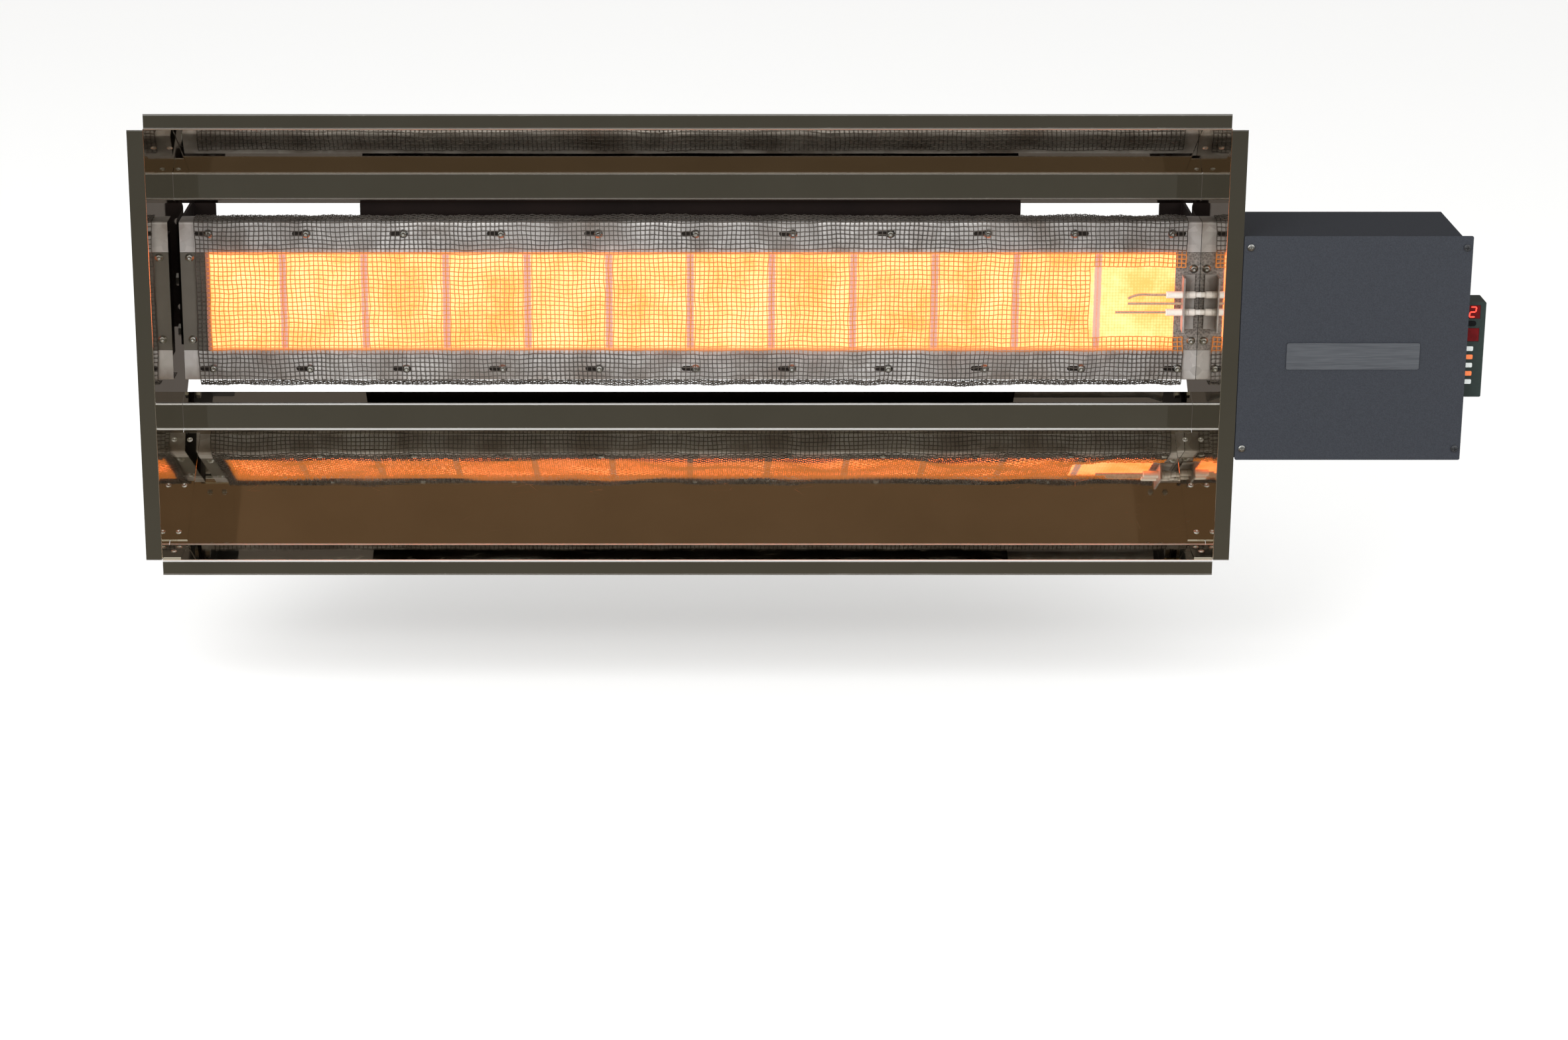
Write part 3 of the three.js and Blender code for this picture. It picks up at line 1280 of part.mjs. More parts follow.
addReflectorPanels();
addEndPanel('end_panel_left', -1);
addEndPanel('end_panel_right', 1);
addCasing();
addRail('burner_rail_top', 1);
addRail('burner_rail_bottom', -1);
addBurnerEnds();
addTiles();
addGasket();
addScreen();
addMixingChamber();
addVenturi();
addInjector();
addGasPipe();
addElectrodeBracket();
addInsulator('spark_insulator', ELECTRODE_SPACING);
addInsulator('sensor_insulator', -ELECTRODE_SPACING);
addElectrodes();
addBoot('spark_boot', ELECTRODE_SPACING);
addBoot('sensor_boot', -ELECTRODE_SPACING);
addLead('spark_lead', ELECTRODE_SPACING, CONTROLLER_Z + LEAD_TO_CONTROLLER);
addLead('sensor_lead', -ELECTRODE_SPACING, CONTROLLER_Z - LEAD_TO_CONTROLLER);
addBoxBody();
addCover();
addCoverScrews();
addBadge();
addValve();
addCoil();
addPlunger();
addInletAndGland();
addController();
addDisplay();
addBracket('bracket_left', -1);
addBracket('bracket_right', 1);
addBolt('pivot_bolt_left', -1, PIVOT_Z);
addBolt('pivot_bolt_right', 1, PIVOT_Z);
addBolt('lock_bolt_left', -1, PIVOT_Z - LOCK_RADIUS);
addBolt('lock_bolt_right', 1, PIVOT_Z - LOCK_RADIUS);

const assembly = new THREE.Group();
heater.add(burner);
assembly.add(brackets, heater);
assembly.position.set(BRACKET_FACE_X, -WALL_Y, -PIVOT_Z);

export default assembly;
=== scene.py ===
import math

import bmesh
import bpy
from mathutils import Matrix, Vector


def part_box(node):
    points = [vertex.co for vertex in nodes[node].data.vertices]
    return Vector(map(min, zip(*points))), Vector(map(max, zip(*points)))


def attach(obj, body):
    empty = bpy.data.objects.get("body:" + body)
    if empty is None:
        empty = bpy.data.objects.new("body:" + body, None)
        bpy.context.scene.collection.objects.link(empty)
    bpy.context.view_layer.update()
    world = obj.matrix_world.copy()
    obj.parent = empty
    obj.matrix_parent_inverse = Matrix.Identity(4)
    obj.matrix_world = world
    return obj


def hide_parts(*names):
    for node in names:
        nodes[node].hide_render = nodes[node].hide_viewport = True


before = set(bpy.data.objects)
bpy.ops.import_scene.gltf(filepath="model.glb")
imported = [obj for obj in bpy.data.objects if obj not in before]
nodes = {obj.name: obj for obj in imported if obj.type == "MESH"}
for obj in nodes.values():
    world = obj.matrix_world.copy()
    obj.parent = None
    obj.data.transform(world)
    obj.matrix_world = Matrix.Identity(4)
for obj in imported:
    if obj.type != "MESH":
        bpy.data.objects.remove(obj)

scene = bpy.context.scene
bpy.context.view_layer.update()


# ---------------------------------------------------------------- camera
# A long lens, a little above the heater and square to its reflector. The heater
# stands left of the middle of the frame, so the lens is shifted to the right.

reflector_low, reflector_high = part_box("reflector_top")
reflector_middle = (reflector_low.x + reflector_high.x) / 2
camera_data = bpy.data.cameras.new("camera")
camera_data.sensor_width = 36
camera_data.lens = 83.8
camera_data.shift_x = 0.0615
camera_data.clip_end = 60
camera = bpy.data.objects.new("camera", camera_data)
camera.location = (reflector_middle, -4.2263, 1.0136)
camera.rotation_euler = (math.radians(90 - 17.5), 0, 0)
scene.collection.objects.link(camera)
scene.camera = camera
scene.view_settings.view_transform = "Standard"


# ---------------------------------------------------------------- studio
# A pale seamless floor under the hanging heater. Soft light comes from all round,
# and what the polished steel mirrors in front of it is a dim, olive room.


def linear(code):
    """An sRGB colour such as #8c8574 as linear RGBA."""
    channels = [int(code[i : i + 2], 16) / 255 for i in (1, 3, 5)]
    return [c / 12.92 if c <= 0.04045 else ((c + 0.055) / 1.055) ** 2.4 for c in channels] + [1.0]


def add_node(tree, kind, settings=None, inputs=None):
    """Adds a node: its settings, then its inputs, each a value or another node's output."""
    added = tree.nodes.new(kind)
    for name, value in (settings or {}).items():
        setattr(added, name, value)
    for key, value in (inputs or {}).items():
        if isinstance(value, bpy.types.NodeSocket):
            tree.links.new(value, added.inputs[key])
        else:
            added.inputs[key].default_value = value
    return added


def new_finish(name, **shader_values):
    """A named finish: its node tree, its shader with the values set, and Object coordinates."""
    finish = bpy.data.materials.new(name)
    finish.use_nodes = True
    tree = finish.node_tree
    shader = tree.nodes["Principled BSDF"]
    for key, value in shader_values.items():
        shader.inputs[key.replace("_", " ")].default_value = value
    place = add_node(tree, "ShaderNodeTexCoord").outputs["Object"]
    return finish, tree, shader, place


world = bpy.data.worlds.new("studio")
scene.world = world
world.use_nodes = True
world_tree = world.node_tree
world_tree.nodes.clear()
direction = add_node(world_tree, "ShaderNodeTexCoord").outputs["Generated"]
direction_parts = add_node(world_tree, "ShaderNodeSeparateXYZ", None, {0: direction}).outputs
room_noise = add_node(
    world_tree, "ShaderNodeTexNoise", None, {"Vector": direction, "Scale": 2.6, "Detail": 2.0}
).outputs["Fac"]
height = add_node(
    world_tree,
    "ShaderNodeMath",
    {"operation": "MULTIPLY_ADD"},
    {0: room_noise, 1: 0.16, 2: direction_parts["Z"]},
).outputs[0]
height_share = add_node(
    world_tree, "ShaderNodeMapRange", None, {"Value": height, "From Min": -0.92, "From Max": 1.08}
).outputs["Result"]
room = add_node(world_tree, "ShaderNodeValToRGB", None, {0: height_share})
ROOM_TONES = (
    (0.0, (0.1, 0.07, 0.045)),
    (0.13, (0.14, 0.1, 0.065)),
    (0.195, (0.26, 0.165, 0.1)),
    (0.29, (0.15, 0.12, 0.09)),
    (0.35, (0.105, 0.1, 0.085)),
    (0.5, (0.06, 0.06, 0.055)),
    (0.57, (1.35, 1.35, 1.33)),
    (0.94, (1.35, 1.35, 1.33)),
    (1.0, (0.3, 0.3, 0.29)),
)
for i, (share, tone) in enumerate(ROOM_TONES):
    tones = room.color_ramp.elements
    stop = tones[i] if i < 2 else tones.new(share)
    stop.position = share
    stop.color = (*tone, 1.0)
towards_wall = add_node(
    world_tree,
    "ShaderNodeMapRange",
    {"interpolation_type": "SMOOTHSTEP"},
    {"Value": direction_parts["Y"], "From Min": -0.1, "From Max": 0.35},
).outputs["Result"]
mirrored = add_node(
    world_tree,
    "ShaderNodeMix",
    {"data_type": "RGBA"},
    {0: towards_wall, 6: room.outputs["Color"], 7: (0.12, 0.105, 0.095, 1.0)},
).outputs[2]
rays = add_node(world_tree, "ShaderNodeLightPath").outputs
seen = add_node(
    world_tree,
    "ShaderNodeMix",
    {"data_type": "RGBA"},
    {0: rays["Is Glossy Ray"], 6: (1.06, 1.06, 1.06, 1.0), 7: mirrored},
).outputs[2]
background = add_node(world_tree, "ShaderNodeBackground", None, {"Color": seen, "Strength": 1.0})
add_node(world_tree, "ShaderNodeOutputWorld", None, {"Surface": background.outputs[0]})

FLOOR_Z = -0.4
FLOOR_HALF = 14.0
floor_mesh = bpy.data.meshes.new("floor")
floor_mesh.from_pydata(
    [
        (-FLOOR_HALF, -FLOOR_HALF, FLOOR_Z),
        (FLOOR_HALF, -FLOOR_HALF, FLOOR_Z),
        (FLOOR_HALF, FLOOR_HALF, FLOOR_Z),
        (-FLOOR_HALF, FLOOR_HALF, FLOOR_Z),
    ],
    [],
    [(0, 1, 2, 3)],
)
floor = bpy.data.objects.new("floor", floor_mesh)
scene.collection.objects.link(floor)
floor_finish, tree, shader, place = new_finish(
    "pale_matt_floor", Roughness=0.4, Specular_IOR_Level=0.1, Base_Color=linear("#fdfdfc")
)
floor_mesh.materials.append(floor_finish)
floor.visible_glossy = False

for name, at, size, energy in (
    ("key_light", (-1.6, -3.6, 1.2), 2.5, 125),
    ("fill_light", (3.0, -3.2, 0.8), 2.5, 70),
):
    light_data = bpy.data.lights.new(name, "AREA")
    light_data.size = size
    light_data.energy = energy
    light = bpy.data.objects.new(name, light_data)
    light.location = at
    aim = Vector((0.6, 0, 0)) - light.location
    light.rotation_euler = aim.to_track_quat("-Z", "Y").to_euler()
    light.visible_glossy = False
    scene.collection.objects.link(light)


# ---------------------------------------------------------------- reflector
# Bright-annealed stainless sheet, 1 mm thick, folded into two panels and two ends.
# It mirrors the burner, dims and yellows what it mirrors, and waves a little.

mirror_steel, tree, shader, place = new_finish("bright_annealed_stainless", Metallic=1.0)
smudges = add_node(
    tree, "ShaderNodeTexNoise", None, {"Vector": place, "Scale": 9.0, "Detail": 5.0, "Roughness": 0.6}
).outputs["Fac"]
tint = add_node(
    tree,
    "ShaderNodeMix",
    {"data_type": "RGBA"},
    {0: smudges, 6: (0.56, 0.52, 0.44, 1.0), 7: (0.68, 0.64, 0.56, 1.0)},
).outputs[2]
dulling = add_node(
    tree,
    "ShaderNodeMapRange",
    None,
    {"Value": smudges, "From Min": 0.4, "From Max": 0.75, "To Min": 0.015, "To Max": 0.06},
).outputs["Result"]
# Hairline scratches from wiping, up to 40 mm long: drawn 0.6 mm wide to show.
wiped = add_node(
    tree,
    "ShaderNodeMapping",
    None,
    {"Vector": place, "Scale": (22.0, 90.0, 60.0), "Rotation": (0.0, 0.0, 0.3)},
).outputs["Vector"]
hairlines = add_node(
    tree, "ShaderNodeTexVoronoi", {"feature": "DISTANCE_TO_EDGE"}, {"Vector": wiped, "Scale": 1.0}
).outputs["Distance"]
hairline = add_node(
    tree, "ShaderNodeMapRange", None, {"Value": hairlines, "From Max": 0.02, "To Min": 0.1, "To Max": 0.0}
).outputs["Result"]
rubbed = add_node(tree, "ShaderNodeTexNoise", None, {"Vector": place, "Scale": 31.0}).outputs["Fac"]
rubbed_patch = add_node(
    tree, "ShaderNodeMapRange", None, {"Value": rubbed, "From Min": 0.52, "From Max": 0.62}
).outputs["Result"]
roughness = add_node(
    tree, "ShaderNodeMath", {"operation": "MULTIPLY_ADD"}, {0: hairline, 1: rubbed_patch, 2: dulling}
).outputs[0]
# The press rubs each fold and free edge dull, in a line 4 mm wide; along it the colour is also lightened
# towards white, a painted highlight line.
# Each is at its Y and its height above or below the reflector's axis.
SHEET_AXIS = -0.0132
PRESSED_AND_HIGHLIGHT_LINES = (
    (-0.3453, 0.2615),
    (-0.3448, 0.2448),
    (-0.288, 0.2441),
    (-0.1359, 0.1521),
    (-0.1352, 0.1212),
)
PRESSED_ROUGHNESS = 0.34
sheet_place = add_node(tree, "ShaderNodeSeparateXYZ", None, {0: place}).outputs
from_axis = add_node(
    tree, "ShaderNodeMath", {"operation": "SUBTRACT"}, {0: sheet_place["Z"], 1: SHEET_AXIS}
).outputs[0]
from_axis = add_node(tree, "ShaderNodeMath", {"operation": "ABSOLUTE"}, {0: from_axis}).outputs[0]
section_point = add_node(
    tree, "ShaderNodeCombineXYZ", None, {1: sheet_place["Y"], 2: from_axis}
).outputs[0]
nearest_line = 1.0
for line_y, line_z in PRESSED_AND_HIGHLIGHT_LINES:
    to_line = add_node(
        tree, "ShaderNodeVectorMath", {"operation": "DISTANCE"}, {0: section_point, 1: (0.0, line_y, line_z)}
    ).outputs["Value"]
    nearest_line = add_node(
        tree, "ShaderNodeMath", {"operation": "MINIMUM"}, {0: to_line, 1: nearest_line}
    ).outputs[0]
pressed_and_highlight = add_node(
    tree,
    "ShaderNodeMapRange",
    {"interpolation_type": "SMOOTHSTEP"},
    {"Value": nearest_line, "From Min": 0.0012, "From Max": 0.0026, "To Min": 1.0, "To Max": 0.0},
).outputs["Result"]
roughness = add_node(
    tree, "ShaderNodeMath", {"operation": "MULTIPLY_ADD"}, {0: pressed_and_highlight, 1: PRESSED_ROUGHNESS, 2: roughness}
).outputs[0]
tree.links.new(roughness, shader.inputs["Roughness"])
# Painted highlight: along each fold line the colour is lightened towards white.
pressed_tint_and_highlight = add_node(
    tree, "ShaderNodeMix", {"data_type": "RGBA"}, {0: pressed_and_highlight, 6: tint, 7: (0.9, 0.9, 0.89, 1.0)}
).outputs[2]
tree.links.new(pressed_tint_and_highlight, shader.inputs["Base Color"])
# Rolling lines run along the sheet, about 1 mm apart: drawn 2 mm apart to show.
along_sheet = add_node(
    tree, "ShaderNodeMapping", None, {"Vector": place, "Scale": (4.0, 500.0, 500.0)}
).outputs["Vector"]
rolling = add_node(
    tree, "ShaderNodeTexNoise", None, {"Vector": along_sheet, "Scale": 1.0, "Detail": 1.0}
).outputs["Fac"]
rolling_bump = add_node(
    tree, "ShaderNodeBump", None, {"Strength": 0.006, "Distance": 0.001, "Height": rolling}
).outputs["Normal"]
waves = add_node(
    tree, "ShaderNodeTexNoise", None, {"Vector": place, "Scale": 6.0, "Detail": 1.5}
).outputs["Fac"]
wave_bump = add_node(
    tree,
    "ShaderNodeBump",
    None,
    {"Strength": 0.09, "Distance": 0.003, "Height": waves, "Normal": rolling_bump},
).outputs["Normal"]
tree.links.new(wave_bump, shader.inputs["Normal"])


def dress(finish, *names):
    """Gives CAD nodes a finish."""
    for name in names:
        nodes[name].material_slots[0].material = finish


def plain_mesh(piece):
    """Keeps a piece's evaluated shape as its own mesh, with no modifiers left."""
    bpy.context.view_layer.update()
    evaluated = piece.evaluated_get(bpy.context.evaluated_depsgraph_get())
    mesh = bpy.data.meshes.new_from_object(evaluated)
    piece.modifiers.clear()
    piece.data = mesh
    return piece


SHARPEST_BEND = math.radians(35)
for node in ("reflector_top", "reflector_bottom", "end_panel_left", "end_panel_right"):
    folded = bmesh.new()
    folded.from_mesh(nodes[node].data)
    bmesh.ops.remove_doubles(folded, verts=folded.verts, dist=1e-6)
    for edge in folded.edges:
        edge.smooth = edge.calc_face_angle(0.0) < SHARPEST_BEND
    for face in folded.faces:
        face.smooth = True
    sheet_mesh = bpy.data.meshes.new(f"{node}_sheet")
    folded.to_mesh(sheet_mesh)
    folded.free()
    sheet_mesh.materials.append(mirror_steel)
    sheet = bpy.data.objects.new(f"{node}_sheet", sheet_mesh)
    scene.collection.objects.link(sheet)
    flat_faces = sheet.modifiers.new("flat_faces", "WEIGHTED_NORMAL")
    flat_faces.keep_sharp = True
    flat_faces.weight = 100
    plain_mesh(sheet)
    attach(sheet, "heater")
    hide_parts(node)


# ---------------------------------------------------------------- rivets and screws of the sheet metal
# Blind aluminium rivets hold the ends' tabs to the flares. Each has a low dome
# inside with the broken stem's dimple, and a rounded bulb outside.


def turned(name, profile, sides):
    """A closed turned shape about Z, from (radius, height) pairs that start and end on the axis."""
    points = [(0.0, 0.0, profile[0][1])]
    faces = []
    for radius, height in profile[1:-1]:
        for i in range(sides):
            angle = 2 * math.pi * i / sides
            points.append((radius * math.cos(angle), radius * math.sin(angle), height))
    points.append((0.0, 0.0, profile[-1][1]))
    rings = len(profile) - 2
    for i in range(sides):
        j = (i + 1) % sides
        faces.append((0, 1 + j, 1 + i))
        for ring in range(rings - 1):
            a, b = 1 + ring * sides, 1 + (ring + 1) * sides
            faces.append((a + i, a + j, b + j, b + i))
        last = 1 + (rings - 1) * sides
        faces.append((last + i, last + j, len(points) - 1))
    mesh = bpy.data.meshes.new(name)
    mesh.from_pydata(points, [], faces)
    mesh.shade_smooth()
    shape = bpy.data.objects.new(name, mesh)
    scene.collection.objects.link(shape)
    return shape


def new_tree(name, *sockets):
    """An empty Geometry Nodes tree with named inputs: its input node's outputs and its output."""
    tree = bpy.data.node_groups.new(name, "GeometryNodeTree")
    for socket_name, kind in sockets:
        tree.interface.new_socket(name=socket_name, in_out="INPUT", socket_type=kind)
    tree.interface.new_socket(name="Geometry", in_out="OUTPUT", socket_type="NodeSocketGeometry")
    return tree, tree.nodes.new("NodeGroupInput").outputs, tree.nodes.new("NodeGroupOutput").inputs


fastener_row, given, result = new_tree(
    "fastener_row",
    ("First", "NodeSocketVector"),
    ("Last", "NodeSocketVector"),
    ("Count", "NodeSocketInt"),
    ("Facing", "NodeSocketVector"),
    ("Fastener", "NodeSocketObject"),
    ("Finish", "NodeSocketMaterial"),
)
row_points = add_node(
    fastener_row,
    "GeometryNodeMeshLine",
    {"mode": "END_POINTS"},
    {"Count": given["Count"], "Start Location": given["First"], "Offset": given["Last"]},
).outputs[0]
one_fastener = add_node(
    fastener_row, "GeometryNodeObjectInfo", None, {"Object": given["Fastener"]}
).outputs["Geometry"]
turned_to_face = add_node(
    fastener_row, "FunctionNodeAlignRotationToVector", {"axis": "Z"}, {"Vector": given["Facing"]}
).outputs[0]
placed = add_node(
    fastener_row,
    "GeometryNodeInstanceOnPoints",
    None,
    {"Points": row_points, "Instance": one_fastener, "Rotation": turned_to_face},
).outputs[0]
realised = add_node(fastener_row, "GeometryNodeRealizeInstances", None, {"Geometry": placed}).outputs[0]
finished = add_node(
    fastener_row, "GeometryNodeSetMaterial", None, {"Geometry": realised, "Material": given["Finish"]}
).outputs[0]
fastener_row.links.new(finished, result["Geometry"])


def made_by(tree, name, **values):
    """Runs a Geometry Nodes tree with these inputs and keeps the result as a plain mesh."""
    piece = bpy.data.objects.new(name, bpy.data.meshes.new(name))
    scene.collection.objects.link(piece)
    modifier = piece.modifiers.new("shape", "NODES")
    modifier.node_group = tree
    for item in tree.interface.items_tree:
        if item.in_out == "INPUT" and item.name.replace(" ", "_") in values:
            modifier[item.identifier] = values[item.name.replace(" ", "_")]
    return plain_mesh(piece)


def joined(name, pieces):
    """Several pieces as one mesh."""
    with bpy.context.temp_override(
        active_object=pieces[0], object=pieces[0], selected_editable_objects=pieces, selected_objects=pieces
    ):
        bpy.ops.object.join()
    pieces[0].name = name
    pieces[0].data.name = name
    return pieces[0]


def fastener_rows(name, shape, finish, rows, body):
    """Rows of one kind of fastener, each row (first, last, count, facing), as one piece."""
    made = [
        made_by(
            fastener_row,
            f"{name}_{i}",
            First=first,
            Last=last,
            Count=count,
            Facing=facing,
            Fastener=shape,
            Finish=finish,
        )
        for i, (first, last, count, facing) in enumerate(rows)
    ]
    piece = joined(name, made)
    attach(piece, body)
    return piece


rivet_finish, tree, shader, place = new_finish(
    "aluminium_rivet", Metallic=1.0, Base_Color=linear("#c9c6bf"), Roughness=0.3
)
grime = add_node(tree, "ShaderNodeTexNoise", None, {"Vector": place, "Scale": 600.0}).outputs["Fac"]
grime_tint = add_node(
    tree,
    "ShaderNodeMix",
    {"data_type": "RGBA"},
    {0: grime, 6: linear("#8b877e"), 7: linear("#dcd9d2")},
).outputs[2]
tree.links.new(grime_tint, shader.inputs["Base Color"])

rivet_head = turned(
    "rivet_head",
    [
        (0, -0.0004),
        (0.0034, -0.0004),
        (0.0034, 0.0002),
        (0.0027, 0.0009),
        (0.0013, 0.0013),
        (0.0011, 0.0006),
        (0, 0.0005),
    ],
    12,
)
rivet_bulb = turned(
    "rivet_bulb",
    [(0, -0.0005), (0.0024, -0.0005), (0.0025, 0.0012), (0.0018, 0.0022), (0.0008, 0.0026), (0, 0.0027)],
    12,
)

top_low, top_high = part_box("reflector_top")
bottom_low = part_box("reflector_bottom")[0]
axis_z = (top_high.z + bottom_low.z) / 2
front_y = top_low.y

# The reflector's profile, as (depth behind the rim, half height) in metres.
MOUTH = (0.0575, 0.244)
THROAT = (0.2095, 0.152)
TAB_INSET = 0.009
HEAD_LIFT = 0.0013
BULB_LIFT = 0.001
flare_run = Vector((THROAT[0] - MOUTH[0], THROAT[1] - MOUTH[1]))
flare_inward = Vector((flare_run.y, -flare_run.x)).normalized()
side_faces = (reflector_low.x - 0.0003, reflector_high.x + 0.0003)


def on_flare(side, share, upper, lift):
    """A point on the flare: share 0 at the throat and 1 at the mouth, lifted off its inside."""
    depth = THROAT[0] - flare_run.x * share + flare_inward.x * lift
    height = THROAT[1] - flare_run.y * share + flare_inward.y * lift
    x = side_faces[side] + (TAB_INSET if side == 0 else -TAB_INSET)
    return Vector((x, front_y + depth, axis_z + height * (1 if upper else -1)))


inside_rows = []
outside_rows = []
for side in (0, 1):
    for upper in (True, False):
        up = 1 if upper else -1
        inward = Vector((0, flare_inward.x, flare_inward.y * up))
        for rows, lift, facing in (
            (inside_rows, HEAD_LIFT, inward),
            (outside_rows, -BULB_LIFT, -inward),
        ):
            rows.append((on_flare(side, 0.1, upper, lift), on_flare(side, 0.9, upper, lift), 3, facing))
        tab_x = side_faces[side] + (TAB_INSET if side == 0 else -TAB_INSET)
        on_mouth = Vector((tab_x, front_y + MOUTH[0] * 0.5, axis_z + (MOUTH[1] - HEAD_LIFT) * up))
        above_mouth = Vector((tab_x, front_y + MOUTH[0] * 0.5, axis_z + (MOUTH[1] + BULB_LIFT) * up))
        inside_rows.append((on_mouth, on_mouth, 1, Vector((0, 0, -up))))
        outside_rows.append((above_mouth, above_mouth, 1, Vector((0, 0, up))))
fastener_rows("rivet_heads", rivet_head, rivet_finish, inside_rows, "heater")
fastener_rows("rivet_bulbs", rivet_bulb, rivet_finish, outside_rows, "heater")


# ---------------------------------------------------------------- burner rails and ends
# Galvanised sheet, 1 mm thick: two slotted angle rails and two end plates. The zinc
# has faint spangles, and years of heat have browned it in patches.

galvanised, tree, shader, place = new_finish("heat_stained_galvanised_sheet", Metallic=0.35, Roughness=0.42)
spangles = add_node(tree, "ShaderNodeTexVoronoi", None, {"Vector": place, "Scale": 90.0}).outputs["Color"]
spangle_tint = add_node(
    tree,
    "ShaderNodeMix",
    {"data_type": "RGBA"},
    {0: spangles, 6: linear("#b4b0ad"), 7: linear("#d2cfcc")},
).outputs[2]
heat = add_node(
    tree, "ShaderNodeTexNoise", None, {"Vector": place, "Scale": 14.0, "Detail": 4.0}
).outputs["Fac"]
heat_patches = add_node(
    tree, "ShaderNodeMapRange", None, {"Value": heat, "From Min": 0.48, "From Max": 0.68, "To Max": 0.6}
).outputs["Result"]
stained = add_node(
    tree,
    "ShaderNodeMix",
    {"data_type": "RGBA"},
    {0: heat_patches, 6: spangle_tint, 7: linear("#6f5a47")},
).outputs[2]
tree.links.new(stained, shader.inputs["Base Color"])
pits = add_node(tree, "ShaderNodeTexNoise", None, {"Vector": place, "Scale": 700.0}).outputs["Fac"]
pit_bump = add_node(
    tree, "ShaderNodeBump", None, {"Strength": 0.25, "Distance": 0.0004, "Height": pits}
).outputs["Normal"]
tree.links.new(pit_bump, shader.inputs["Normal"])
dress(galvanised, "burner_rail_top", "burner_rail_bottom", "venturi_tube", "electrode_bracket")

# The right end plate stands beside the flame: dark, granular oxide on the same sheet.
scaled_steel, tree, shader, place = new_finish("oxide_scaled_sheet", Metallic=0.3, Roughness=0.6)
grains = add_node(tree, "ShaderNodeTexVoronoi", None, {"Vector": place, "Scale": 420.0}).outputs["Distance"]
grain_tint = add_node(
    tree,
    "ShaderNodeMix",
    {"data_type": "RGBA"},
    {0: grains, 6: linear("#5b5652"), 7: linear("#a8a19a")},
).outputs[2]
tree.links.new(grain_tint, shader.inputs["Base Color"])
grain_bump = add_node(
    tree, "ShaderNodeBump", None, {"Strength": 0.5, "Distance": 0.0006, "Height": grains}
).outputs["Normal"]
tree.links.new(grain_bump, shader.inputs["Normal"])
dress(scaled_steel, "burner_end_right")


# ---------------------------------------------------------------- plaques
# Twelve perforated cordierite plaques, glowing on their faces. Each is palest in its
# middle, redder at its rim, and grained by thousands of 1.3 mm holes.

tile_low, tile_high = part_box("ceramic_tile_01")
last_tile_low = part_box("ceramic_tile_12")[0]
tile_pitch = (last_tile_low.x - tile_low.x) / 11
joint_x = tile_low.x - (tile_pitch - (tile_high.x - tile_low.x)) / 2
burner_z = (tile_low.z + tile_high.z) / 2

glowing_ceramic, tree, shader, place = new_finish(
    "glowing_cordierite", Roughness=0.9, Base_Color=linear("#8a6a50")
)
place_parts = add_node(tree, "ShaderNodeSeparateXYZ", None, {0: place}).outputs
along_row = add_node(
    tree, "ShaderNodeMath", {"operation": "SUBTRACT"}, {0: place_parts["X"], 1: joint_x}
).outputs[0]
in_pitches = add_node(
    tree, "ShaderNodeMath", {"operation": "DIVIDE"}, {0: along_row, 1: tile_pitch}
).outputs[0]
to_joint = add_node(tree, "ShaderNodeMath", {"operation": "PINGPONG"}, {0: in_pitches, 1: 0.5}).outputs[0]
joint_wobble = add_node(tree, "ShaderNodeTexNoise", None, {"Vector": place, "Scale": 160.0}).outputs["Fac"]
wobbled = add_node(
    tree, "ShaderNodeMath", {"operation": "MULTIPLY_ADD"}, {0: joint_wobble, 1: -0.02, 2: to_joint}
).outputs[0]
inside_tile = add_node(
    tree,
    "ShaderNodeMapRange",
    {"interpolation_type": "SMOOTHSTEP"},
    {"Value": wobbled, "From Min": 0.026, "From Max": 0.04},
).outputs["Result"]
# The holes are 1.3 mm wide on a 2.1 mm grid: drawn on a 3.4 mm one to show.
holes = add_node(
    tree, "ShaderNodeTexVoronoi", None, {"Vector": place, "Scale": 290.0, "Randomness": 0.12}
).outputs["Distance"]
clouds = add_node(
    tree, "ShaderNodeTexNoise", None, {"Vector": place, "Scale": 17.0, "Detail": 5.0, "Roughness": 0.65}
).outputs["Fac"]
mottle = add_node(
    tree, "ShaderNodeMath", {"operation": "MULTIPLY_ADD"}, {0: holes, 1: -0.45, 2: clouds}
).outputs[0]
heat_level = add_node(
    tree, "ShaderNodeMapRange", None, {"Value": mottle, "From Min": 0.05, "From Max": 0.5}
).outputs["Result"]
face_glow = add_node(
    tree,
    "ShaderNodeMix",
    {"data_type": "RGBA"},
    {0: heat_level, 6: (0.55, 0.09, 0.014, 1.0), 7: (1.0, 0.2, 0.085, 1.0)},
).outputs[2]
glow = add_node(
    tree,
    "ShaderNodeMix",
    {"data_type": "RGBA"},
    {0: inside_tile, 6: (0.085, 0.054, 0.049, 1.0), 7: face_glow},
).outputs[2]
# A redder line runs along the top and bottom, where the rails shade the plaques.
tile_height = add_node(
    tree, "ShaderNodeMath", {"operation": "SUBTRACT"}, {0: place_parts["Z"], 1: burner_z}
).outputs[0]
tile_height = add_node(tree, "ShaderNodeMath", {"operation": "ABSOLUTE"}, {0: tile_height}).outputs[0]
shaded_edge = add_node(
    tree,
    "ShaderNodeMapRange",
    {"interpolation_type": "SMOOTHSTEP"},
    {"Value": tile_height, "From Min": 0.0535, "From Max": 0.0565},
).outputs["Result"]
edged_glow = add_node(
    tree,
    "ShaderNodeMix",
    {"data_type": "RGBA"},
    {0: shaded_edge, 6: glow, 7: (0.18, 0.042, 0.01, 1.0)},
).outputs[2]
